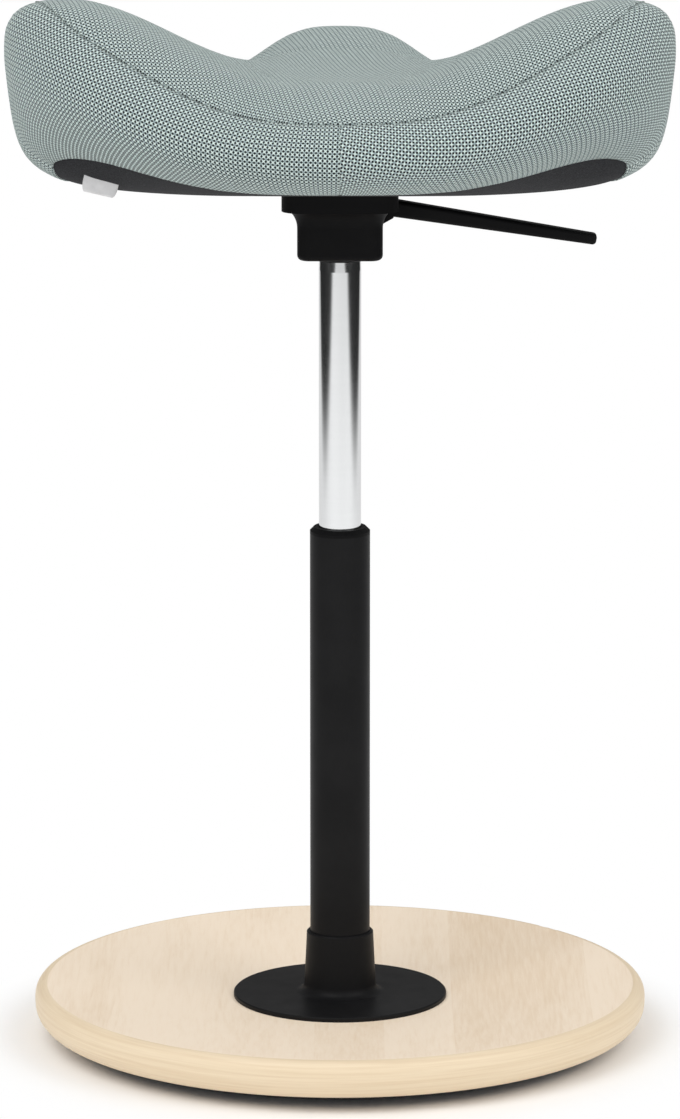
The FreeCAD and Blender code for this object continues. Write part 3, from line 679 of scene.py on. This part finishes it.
class Line(Enum):
    """Lines along the cushion, by their place in its section."""
    REAR_HEM = 0
    REAR_SIDE = 1
    REAR_SEAM = 2
    REAR_EDGE = 3
    REAR_CREST = 4
    SADDLE = 5
    FRONT_CREST = 6
    FRONT_EDGE = 7
    FRONT_SEAM = 8
    FRONT_SIDE = 9
    FRONT_HEM = 10
    BELLY = 11


WING_RISE: Pair = (0.9, 1.45)
HEM_RISE: Pair = (0.81, 1.7)
POMMEL_POWER = 2.6


@dataclass(frozen=True)
class Rail:
    """Course of one line along the cushion.

    Depths are inside the outline, heights over the floor, both in the middle. The wings
    add the gains, and the pommel its own. A rise says how far out the height's gain is
    full, as a share of the half width, and its power.
    """
    depth: float
    height: float
    depth_gain: float = 0.0
    height_gain: float = 0.0
    rise: Pair = WING_RISE
    pommel_depth: float = 0.0
    pommel_height: float = 0.0
    pommel_power: float = POMMEL_POWER


@dataclass(frozen=True)
class SaddleForm:
    """The saddle's fore-and-aft section as it changes from side to side."""
    half_width: float = 0.217
    widest_y: float = -0.045
    tip_z: float = 0.668
    rear_reach: float = 0.120
    front_reach: float = 0.138
    pommel_reach: float = 0.092
    pommel_half_width: float = 0.062
    rear_hem: Rail = Rail(0.022, 0.591, height_gain=0.020, rise=HEM_RISE)
    rear_side: Rail = Rail(0.0, 0.611, height_gain=0.030)
    rear_seam: Rail = Rail(0.014, 0.637, 0.0195, 0.054)
    rear_crest: Rail = Rail(0.060, 0.655, 0.010, 0.051, (0.866, 1.25))
    saddle: Rail = Rail(0.0, 0.6505, height_gain=0.054, rise=(0.857, 1.17))
    front_crest: Rail = Rail(0.062, 0.627, 0.0, 0.062, (0.92, 1.25), 0.023, 0.040, 3.2)
    front_seam: Rail = Rail(0.020, 0.622, 0.004, 0.044, pommel_height=0.024)
    front_side: Rail = Rail(0.0, 0.612, height_gain=0.020, pommel_height=0.008)
    front_hem: Rail = Rail(0.024, 0.594, height_gain=0.014, rise=HEM_RISE, pommel_height=0.004)
    belly: Rail = Rail(0.0, 0.578)
    # Powers a and b of the closing (1 - share ** a) ** b
    rear_closing: Pair = (2.6, 0.5)
    front_closing: Pair = (2.2, 0.6)
    top_closing: Pair = (12, 0.27)
    low_closing: Pair = (6, 0.27)
    tip_blunting: Pair = (0.5, 60)
    # How far the edge lines lie from seam to crest: in depth, and in height
    rear_edge_share: Pair = (0.45, 0.68)
    front_edge_share: Pair = (0.5, 0.72)
    front_edge_out: float = 0.004

    def rising(self, x: Array, rise: Pair) -> Array:
        """Squared sine that climbs from 0 in the middle to 1 where the rise ends."""
        reach, power = rise
        share = np.clip(np.abs(x) / (self.half_width * reach), 0, 1) ** power
        return np.sin(np.pi / 2 * share) ** 2

    def bell(self, x: Array, power: float) -> Array:
        """1 in the middle, falling to 0 past the pommel's side."""
        return np.exp(-(np.abs(x) / self.pommel_half_width) ** power)

    def lines(self, x: Array) -> Array:
        """Twelve points of the section at each x.

        Heights are drawn towards the tip's height, and depths towards its depth, by
        closings that fall from 1 in the middle to 0 at the tip.

        Args:
            x: places from side to side.
        Returns:
            Points, shaped (places, 12, 3), in the order of Line.
        """
        share = np.clip(np.abs(x) / self.half_width, 0, 1)

        def closing(powers: Pair, more: Union[float, Array] = 0.0) -> Array:
            """Fall from 1 in the middle to 0 at the tip."""
            return (1 - share ** powers[0]) ** (powers[1] + more)

        rear_close, front_close = closing(self.rear_closing), closing(self.front_closing)
        top_close = closing(self.top_closing)
        low_close = closing(self.low_closing, self.tip_blunting[0] * share ** self.tip_blunting[1])
        pommel = self.bell(x, POMMEL_POWER)
        lift = self.rising(x, WING_RISE)

        def course(rail: Rail, outline: Array, inward: Array, close: Array) -> Array:
            """Depths and heights of a rail, the heights drawn to the tip."""
            depth = rail.depth + rail.depth_gain * lift + rail.pommel_depth * pommel
            height = (rail.height + rail.pommel_height * self.bell(x, rail.pommel_power)
                      + rail.height_gain * self.rising(x, rail.rise))
            return np.stack([outline + depth * inward, self.tip_z + (height - self.tip_z) * close], axis=-1)

        rear = self.widest_y - self.rear_reach * rear_close
        front = self.widest_y + self.front_reach * front_close + self.pommel_reach * pommel
        rear_hem, rear_side = (course(rail, rear, rear_close, low_close)
                               for rail in (self.rear_hem, self.rear_side))
        rear_seam, rear_crest = (course(rail, rear, rear_close, top_close)
                                 for rail in (self.rear_seam, self.rear_crest))
        front_crest, front_seam = (course(rail, front, -front_close, top_close)
                                   for rail in (self.front_crest, self.front_seam))
        front_side, front_hem = (course(rail, front, -front_close, low_close)
                                 for rail in (self.front_side, self.front_hem))
        saddle = course(self.saddle, (rear_crest + front_crest)[:, 0] / 2, rear_close, top_close)
        belly = course(self.belly, (rear_hem + front_hem)[:, 0] / 2, rear_close, low_close)
        rear_edge = rear_seam + np.array(self.rear_edge_share) * (rear_crest - rear_seam)
        front_edge = front_seam + np.array(self.front_edge_share) * (front_crest - front_seam)
        front_edge[:, 0] += self.front_edge_out * front_close
        ring = np.stack([rear_hem, rear_side, rear_seam, rear_edge, rear_crest, saddle, front_crest,
                         front_edge, front_seam, front_side, front_hem, belly], axis=1)
        return np.concatenate([np.broadcast_to(x[:, None, None], (len(x), len(Line), 1)), ring], axis=-1)


@dataclass
class Cushion:
    """Padded saddle seat: foam, liner, top panel and two side bands."""
    form: SaddleForm = SaddleForm()
    panel_half_length: float = 0.197
    liner_half_length: float = 0.184
    voxel: float = 4.5 * MM
    swell_cap: float = 3.0 * MM
    pressure: float = 4.0
    pinned_reach: float = 9 * MM
    cloth_thickness: float = 1.0 * MM
    cloth_stand: float = 1.1 * MM
    groove_depth: float = 0.45 * MM
    groove_reach: float = 1.2 * MM
    seam_power: float = 14.0
    rear_hem_power: float = 10.0
    front_hem_power: float = 3.4
    hem_tip: float = 0.8
    foam_clearance: float = 1.2 * MM
    foam_rings: int = 181
    bow_columns: int = 22
    smoothings: int = 4
    pinned_share: float = 1.3
    pin_levels: int = 10
    held_under: float = 6 * MM
    cloth_mass: float = 0.3
    stretch_stiffness: float = 25.0
    bending_stiffness: float = 4.0
    cloth_frames: int = 20
    curve_steps: int = 800
    knot_half_width: float = 0.1
    seam_points: int = 160
    band_size: Tuple[int, int] = (300, 34)
    panel_rings: int = 150
    top_columns: int = 96
    liner_columns: int = 80
    liner_stand: float = 0.3 * MM

    def outline(self, x: Array, columns: int) -> Array:
        """Closed outline of the section at each x: six bows through its points, three by three."""
        ring = self.form.lines(x)
        share = np.arange(columns) / columns
        bows = [bowed(ring[:, start], ring[:, start + 1], ring[:, (start + 2) % len(Line)], share)
                for start in range(0, len(Line), 2)]
        return np.concatenate(bows, axis=1)

    def across(self, x: Array, low: Line, high: Line, shares: Array) -> Array:
        """Points between two lines of the section, at shares of the way for each x.

        Args:
            x: places from side to side, shaped (n,).
            low: first line.
            high: last line; the belly lies between the front hem and the rear hem.
            shares: shaped (n, m), from 0 at the first line to 1 at the last.
        Returns:
            Points, shaped (n, m, 3), on a smooth curve through the lines between.
        """
        ring = self.form.lines(x)
        if high.value > low.value:
            order = list(range(low.value, high.value + 1))
        else:
            order = list(range(low.value, len(Line))) + list(range(0, high.value + 1))
        chosen = ring[:, order]
        steps = np.linalg.norm(np.diff(chosen, axis=1), axis=-1)
        steps = steps[np.abs(x) < self.knot_half_width].mean(axis=0)
        knots = np.concatenate([[0], np.cumsum(steps)])
        knots = knots / knots[-1]
        fine = np.linspace(0, 1, self.curve_steps + 1)
        curve = np.einsum("pk,nkc->npc", spline_weights(knots, fine), chosen)
        slot = np.clip(np.rint(shares * self.curve_steps).astype(int), 0, self.curve_steps)
        return np.take_along_axis(curve, slot[..., None], axis=1)

    def padding(self) -> bpy.types.Object:
        """Foam body: the section carried from tip to tip, then swollen."""
        rows = self.outline(side_to_side(self.form.half_width, self.foam_rings), self.bow_columns)
        body = as_mesh("seat_padding", rows, wrap=True)
        weld(body, 0.2 * MM)
        point_out(body)
        modify(body, "REMESH", mode="VOXEL", voxel_size=self.voxel)
        modify(body, "SMOOTH", factor=0.5, iterations=self.smoothings)
        swollen = self.swell(body)
        drawn_in(body, swollen + self.cloth_stand)
        modify(body, "SUBSURF", levels=1, render_levels=1)
        body.data.shade_smooth()
        return body

    def swell(self, body: bpy.types.Object) -> float:
        """Blow the foam up between its seams by cloth simulation, and cap how far it moves.

        Args:
            body: the foam's even mesh.
        Returns:
            How far its points moved in the mean.
        """
        before = points_of(body)
        held = body.vertex_groups.new(name="held")
        turn = np.linspace(0, 1, self.seam_points)
        seams = np.concatenate([edge(turn, side) for edge in (self.seam, self.hem) for side in (-1, 1)])
        near = np.sqrt(((before[:, None, :] - seams[None]) ** 2).sum(-1)).min(1)
        weights = np.clip(self.pinned_share - near / self.pinned_reach, 0, 1)
        weights[before[:, 2] < self.form.belly.height + self.held_under] = 1.0
        step = 1 / self.pin_levels
        for level in np.linspace(step, 1.0, self.pin_levels):
            chosen = np.flatnonzero(np.abs(weights - level) <= step / 2).tolist()
            held.add(chosen, float(level), "REPLACE")
        cloth = body.modifiers.new("cloth", "CLOTH")
        settings = cloth.settings
        settings.quality = 6
        settings.mass = self.cloth_mass
        settings.tension_stiffness = settings.compression_stiffness = self.stretch_stiffness
        settings.bending_stiffness = self.bending_stiffness
        settings.vertex_group_mass = "held"
        settings.pin_stiffness = 1.0
        settings.use_pressure = True
        settings.uniform_pressure_force = self.pressure
        settings.effector_weights.gravity = 0
        cloth.point_cache.frame_start, cloth.point_cache.frame_end = 1, self.cloth_frames
        scene = bpy.context.scene
        for number in range(1, self.cloth_frames + 1):
            scene.frame_set(number)
        apply_modifiers(body)
        after = points_of(body)
        moved = after - before
        size = np.linalg.norm(moved, axis=1, keepdims=True)
        limit = self.swell_cap * np.tanh(size / self.swell_cap)
        move_points(body, before + moved / np.maximum(size, 1e-9) * limit)
        scene.frame_set(1)
        LOG.info("foam swollen by %.1f mm at most, %.1f mm in the mean", limit.max() / MM, limit.mean() / MM)
        return float(limit.mean())

    def narrowing(self, x: Array, half_length: float, power: float) -> Array:
        """Share of the full width that a panel keeps at x: 1 in the middle, 0 at its points."""
        return np.sqrt(np.clip(1 - (np.abs(x) / half_length) ** power, 0, 1))

    def loop_x(self, turn: Array, side: int, half_length: float) -> Array:
        """Side-to-side place on a loop that runs from rear middle round a wing to front middle."""
        return side * half_length * np.sin(np.pi * turn)

    def seam(self, turn: Array, side: int) -> Array:
        """Top seam round one wing: the upper curve's ends, drawn together towards the wing's point."""
        x = self.loop_x(turn, side, self.panel_half_length)
        half = 0.5 * self.narrowing(x, self.panel_half_length, self.seam_power)
        share = np.where(turn < 0.5, 0.5 - half, 0.5 + half)
        return self.across(x, Line.REAR_SEAM, Line.FRONT_SEAM, share[:, None])[:, 0]

    def hem_shares(self, x: Array) -> Tuple[Array, Array]:
        """Where the liner's front and rear edges lie on the way from front hem to rear hem.

        Both meet at the tip share at the wing's point: each is the tip share moved towards
        its own hem by that side's narrowing.
        """
        rear = self.narrowing(x, self.liner_half_length, self.rear_hem_power)
        front = self.narrowing(x, self.liner_half_length, self.front_hem_power)
        return self.hem_tip * (1 - front), self.hem_tip + (1 - self.hem_tip) * rear

    def hem(self, turn: Array, side: int) -> Array:
        """Liner's edge round one wing, from the rear middle over the wing's point to the front middle."""
        x = self.loop_x(turn, side, self.liner_half_length)
        front, rear = self.hem_shares(x)
        share = np.where(turn < 0.5, rear, front)
        return self.across(x, Line.FRONT_HEM, Line.REAR_HEM, share[:, None])[:, 0]

    def widest(self, turn: Array, side: int) -> Array:
        """Outline in plan round one wing: the rear and front sides, meeting at the wing's tip."""
        x = self.loop_x(turn, side, self.form.half_width)
        ring = self.form.lines(x)
        rear = (turn < 0.5)[:, None]
        return np.where(rear, ring[:, Line.REAR_SIDE.value], ring[:, Line.FRONT_SIDE.value])

    def band_grid(self, side: int) -> Array:
        """Side band: for each turn round the wing, a bowed line from hem over the widest line to seam.

        Each line is the parabola through the hem, the widest line and the seam.
        """
        lines, columns = self.band_size
        turn = np.linspace(0, 1, lines)
        return bowed(self.hem(turn, side), self.widest(turn, side), self.seam(turn, side),
                     np.linspace(0, 1, columns))

    def top_grid(self) -> Array:
        """Top panel: lines across from rear seam to front seam, drawn together at the wings."""
        x = side_to_side(self.panel_half_length, self.panel_rings)
        share = np.linspace(-0.5, 0.5, self.top_columns)[None, :]
        return self.across(x, Line.REAR_SEAM, Line.FRONT_SEAM,
                           0.5 + share * self.narrowing(x, self.panel_half_length, self.seam_power)[:, None])

    def liner_grid(self) -> Array:
        """Liner: lines across the belly from front hem to rear hem, drawn together at the wings."""
        x = side_to_side(self.liner_half_length, self.panel_rings)
        front, rear = self.hem_shares(x)
        share = np.linspace(0, 1, self.liner_columns)[None, :]
        return self.across(x, Line.FRONT_HEM, Line.REAR_HEM, front[:, None] + share * (rear - front)[:, None])

    def fitted(self, name: str, rows: Array, body: bpy.types.Object, stand: float) -> Array:
        """Lay a grid on the foam, at a distance from it, and return its points, still in rows."""
        piece = as_mesh(name, rows)
        modify(piece, "SHRINKWRAP", target=body, wrap_method="NEAREST_SURFACEPOINT",
               wrap_mode="ABOVE_SURFACE", offset=stand)
        laid = points_of(piece).reshape(rows.shape)
        bpy.data.objects.remove(piece)
        return laid

    def groove(self, rows: Array, axis: int, edges: Sequence[int]) -> Array:
        """Depth of the tuck along the chosen ends of the grid's lines, depth * exp(-(d / reach) ** 2)."""
        run = run_lengths(rows, axis)
        ends = [np.abs(run - np.take(run, [edge], axis=axis)) for edge in edges]
        return self.groove_depth * np.exp(-(np.min(ends, axis=0) / self.groove_reach) ** 2)

    def tucked(self, rows: Array, edges: Sequence[int], outward: float, closed_ends: bool) -> Array:
        """Roll a panel's edges into its seams.

        A point sinks along the surface's inward normal by the groove's depth there.

        Args:
            rows: the panel's points.
            edges: which ends of the lines roll in, 0 for the first and -1 for the last.
            outward: 1 or -1, to turn the grid's own normal outwards.
            closed_ends: whether the first and last lines lie in a seam too.
        Returns:
            The moved points.
        """
        normal = np.cross(np.gradient(rows, axis=1), np.gradient(rows, axis=0)) * outward
        normal /= np.maximum(np.linalg.norm(normal, axis=-1, keepdims=True), 1e-9)
        sink = self.groove(rows, 1, edges)
        if closed_ends:
            sink = np.maximum(sink, self.groove(rows, 0, (0, -1)))
        return rows - normal * sink[..., None]

    def panel(self, node: str, kind: str, rows: Array, material: bpy.types.Material,
              flip: bool = False) -> None:
        """Make a panel a piece of cloth with its own map in metres and a thickness inwards.

        Args:
            node: the CAD node that it stands for.
            kind: what it is made of, which ends the piece's name.
            rows: the panel's points.
            material: its finish.
            flip: whether the columns run the other way, to turn the faces out.
        """
        if flip:
            rows = rows[:, ::-1]
        piece = as_mesh(f"{node}_{kind}", rows)
        middle_line = rows[:, [rows.shape[1] // 2]]
        along = np.broadcast_to(run_lengths(middle_line, 0), rows.shape[:2])
        across = run_lengths(rows, 1)
        loops = np.empty(len(piece.data.loops), np.int32)
        piece.data.loops.foreach_get("vertex_index", loops)
        layer = piece.data.uv_layers.new(name="cloth")
        places = np.stack([along.ravel()[loops], across.ravel()[loops]], axis=-1)
        layer.data.foreach_set("uv", places.astype(np.float32).ravel())
        weld(piece, 0.05 * MM)
        thicken(piece, self.cloth_thickness, -1)
        piece.data.materials.append(material)
        on_seat(piece, node)

    def build(self) -> None:
        """Make the foam, then lay the cloth on it."""
        body = self.padding()
        body.data.materials.append(Sponge().build())
        on_seat(body, "seat_foam")
        turns = {"top": 33, "left": 47, "right": 8}
        cloth = {key: Weave(f"weave_{key}", turn).build() for key, turn in turns.items()}
        rows = self.fitted("top", self.top_grid(), body, self.cloth_stand)
        rows = self.tucked(rows, (0, -1), outward=1, closed_ends=False)
        self.panel("cover_top_panel", "cloth", rows, cloth["top"])
        for side, key in ((-1, "left"), (1, "right")):
            rows = self.fitted(key, self.band_grid(side), body, self.cloth_stand)
            rows = self.tucked(rows, (-1,), outward=-side, closed_ends=True)
            self.panel(f"cover_{key}_band", "cloth", rows, cloth[key], flip=side < 0)
        rows = self.fitted("liner", self.liner_grid(), body, self.liner_stand)
        self.panel("underside_liner", "felt", rows, Felt("lining_felt").build())
        drawn_in(body, self.foam_clearance)


@dataclass
class RibbonTab:
    """Folded ribbon sewn to the liner, hanging as a narrow loop and left bare."""
    width: float = 23 * MM
    drop: float = 16.5 * MM
    loop: float = 3.1 * MM
    ribbon: float = 0.8 * MM
    sewn_in: float = 2.5 * MM
    corner: float = 2.2 * MM
    place: Tuple[float, float, float] = (-0.152, -0.088, 0.5995)
    lean: float = 13.0
    sag: float = 0.7 * MM
    fold_points: int = 17
    leg_points: int = 13
    width_points: int = 25
    corner_power: float = 9
    # Height, waves across the width and start of the uneven belly
    wave: Tuple[float, float, float] = (0.12, 2.3, 0.6)

    def rows(self) -> Array:
        """Ribbon surface: down one side, round a half circle and up the other, carried across its width.

        With s from -1 to 1 along the ribbon and a = pi s / 2 in the fold, the fold is
        y = r sin a, z = -drop + r (1 - cos a); above it y stays at r with a slight belly. The width
        shrinks by corner times a power of the share fallen, which rounds the fold's corners.
        """
        radius = self.loop / 2
        fold = np.linspace(-np.pi / 2, np.pi / 2, self.fold_points)
        leg = np.linspace(self.sewn_in, radius - self.drop, self.leg_points + 1)[:-1]
        belly = self.sag * np.sin(np.pi * np.linspace(0, 1, self.leg_points + 1)[:-1]) ** 2
        y = np.concatenate([-radius - belly, radius * np.sin(fold), (radius + belly)[::-1]])
        z = np.concatenate([leg, -self.drop + radius * (1 - np.cos(fold)), leg[::-1]])
        x = np.linspace(-self.width / 2, self.width / 2, self.width_points)
        height, waves, start = self.wave
        wave = 1 + height * np.sin(waves * x / self.width * np.pi + start)
        fallen = np.clip(-z / self.drop, 0, 1)[None, :]
        across = x[:, None] * (1 - 2 * self.corner / self.width * fallen ** self.corner_power)
        deep = y[None, :] * wave[:, None]
        high = np.broadcast_to(z[None, :], deep.shape)
        turn = math.radians(self.lean)
        turned = np.stack([across * math.cos(turn) + high * math.sin(turn), deep,
                           high * math.cos(turn) - across * math.sin(turn)], axis=-1)
        return turned + np.array(self.place)

    def build(self) -> None:
        """Make the ribbon and give it its thickness."""
        piece = as_mesh("ribbon_loop", self.rows())
        thicken(piece, self.ribbon, 0)
        piece.data.materials.append(Ribbon("ribbon").build())
        on_seat(piece, "ribbon_tab")


# Rigid pieces

@dataclass
class Hardware:
    """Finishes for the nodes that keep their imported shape."""

    def finishes(self) -> Dict[str, bpy.types.Material]:
        """Material for each of the record's slots."""
        return {
            "ash_wood": Veneer().build(),
            "sole_rubber": Rubber("sole_rubber").build(),
            "black_steel": PowderCoat().build(),
            "black_plastic": MouldedPlastic("black_plastic", srgb(15, 15, 16), 0.5, shine=0.07).build(),
            "guide_plastic": MouldedPlastic("guide_plastic", srgb(205, 204, 198), 0.5).build(),
            "cylinder_chrome": BrightMetal("cylinder_chrome", (0.77, 0.78, 0.785), 0.07,
                                           depth=0.0005 * MM, streak=0.12).build(),
            "rod_steel": BrightMetal("rod_steel", (0.68, 0.69, 0.7), 0.16).build(),
            "zinc_steel": BrightMetal("zinc_steel", (0.62, 0.63, 0.64), 0.34, (300, 300, 300)).build(),
            "mechanism_steel": PowderCoat("mechanism_coat", srgb(34, 34, 34)).build(),
            "valve_brass": BrightMetal("valve_brass", (0.8, 0.62, 0.32), 0.25).build(),
            "seal_rubber": Rubber("seal_rubber").build(),
            "shell_ply": Plywood().build(),
            "liner_cloth": Felt("liner_under_felt").build(),
            "tab_ribbon": Ribbon("tab_ribbon").build(),
            "seat_cloth": Felt("cloth_backing", srgb(170, 180, 178), srgb(120, 130, 128)).build(),
            "seat_foam": Sponge("foam_core").build(),
        }

    def build(self) -> None:
        """Give every node of the frame the finish of its slot."""
        made = self.finishes()
        for row in frame["record"]["subparts"]:
            node = frame["nodes"][row["node"]]
            node.data.materials.clear()
            node.data.materials.append(made[row["material_slot"]])
            LOG.info("%s: %s", row["node"], row["material_slot"])


# Studio

@dataclass
class Studio:
    """Pale floor, soft light and the camera."""
    distance: float = 4.372
    height: float = 1.2295
    tilt_down: float = 11.69
    lens: float = 216.1
    floor_half: float = 6.0
    shadow_near: float = 0.212
    shadow_far: float = 0.265
    side_level: float = 0.26
    sheet_half: float = 1.85
    sheet_fade: float = 0.6
    world_level: float = 0.70
    front_fade: Pair = (0.1, 0.6)
    room: float = 0.03
    key_level: float = 39.0
    fill_share: float = 0.5

    def camera(self) -> None:
        """Long-lens camera in front of the seat's rear edge, looking slightly down."""
        data = bpy.data.cameras.new("camera")
        data.lens = self.lens
        data.clip_end = 30
        seen = bpy.data.objects.new("camera", data)
        seen.location = (0, -self.distance, self.height)
        seen.rotation_euler = (math.radians(90 - self.tilt_down), 0, 0)
        bpy.context.scene.collection.objects.link(seen)
        bpy.context.scene.camera = seen

    def floor(self) -> None:
        """White sheet that keeps the stool's shadow, with dark room beyond it to both sides.

        The camera sees plain white past the shadow; only shiny pieces show the dark room.
        """
        reach = np.linspace(-self.floor_half, self.floor_half, 3)
        x, y = np.meshgrid(reach, reach, indexing="ij")
        floor = as_mesh("floor", np.stack([x, y, np.zeros_like(x)], axis=-1)[:, ::-1])
        graph = Graph("floor")
        x, y, _ = graph.place().axes()
        away = (x * x + y * y) ** 0.5
        graph.lit(graph.ray("Camera") * away.ramp(self.shadow_near, self.shadow_far))
        beyond = abs(x).ramp(self.sheet_half, self.sheet_half + self.sheet_fade)
        sheet = graph.blend(beyond, (1.0, 1.0, 1.0), (self.room,) * 3)
        graph.done(Base_Color=sheet, Roughness=0.9, Specular_IOR_Level=0.0)
        floor.data.materials.append(graph.material)

    def world(self) -> None:
        """White surroundings for the camera, even soft light, and a bright front for shiny pieces.

        A shiny piece meets the full level towards the camera's side, -Y, and the side level
        elsewhere.
        """
        world = bpy.data.worlds.new("studio")
        world.use_nodes = True
        graph = Sky(world.node_tree)
        _, y, _ = graph.node("ShaderNodeTexCoord", {}, {}, "Generated").axes()
        front = (0 - y).ramp(*self.front_fade)
        shiny = graph.ray("Glossy")
        shine = self.side_level + (1 - self.side_level) * front
        soft = self.world_level * (1 - shiny) + shine * shiny
        graph.fill(world.node_tree.nodes["Background"],
                   {"Strength": graph.ray("Camera").highest(soft), "Color": (1, 1, 1, 1)})
        bpy.context.scene.world = world

    def lamp(self, name: str, place: Sequence[float], aim: Sequence[float], size: float,
             power: float) -> None:
        """Soft square lamp aimed at a point."""
        data = bpy.data.lights.new(name, "AREA")
        data.size = size
        data.energy = power
        lamp = bpy.data.objects.new(name, data)
        lamp.location = place
        toward = np.subtract(aim, place)
        flat = math.hypot(toward[0], toward[1])
        heading = math.atan2(toward[1], toward[0])
        lamp.rotation_euler = (math.atan2(flat, -toward[2]), 0, heading - math.pi / 2)
        bpy.context.scene.collection.objects.link(lamp)

    def build(self) -> None:
        """Set the stage."""
        self.camera()
        self.floor()
        self.world()
        aim = (0, 0, 0.4)
        self.lamp("key", (-1.4, -1.8, 2.9), aim, 2.2, self.key_level)
        self.lamp("fill", (2.0, -1.2, 2.2), aim, 2.0, self.fill_share * self.key_level)
        bpy.context.scene.view_settings.view_transform = "Standard"


def main() -> None:
    """Build the stool and its studio."""
    logging.basicConfig(level=logging.INFO, format="%(name)s: %(message)s")
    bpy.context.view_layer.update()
    Studio().build()
    Hardware().build()
    Cushion().build()
    RibbonTab().build()


if __name__ == "__main__":
    main()
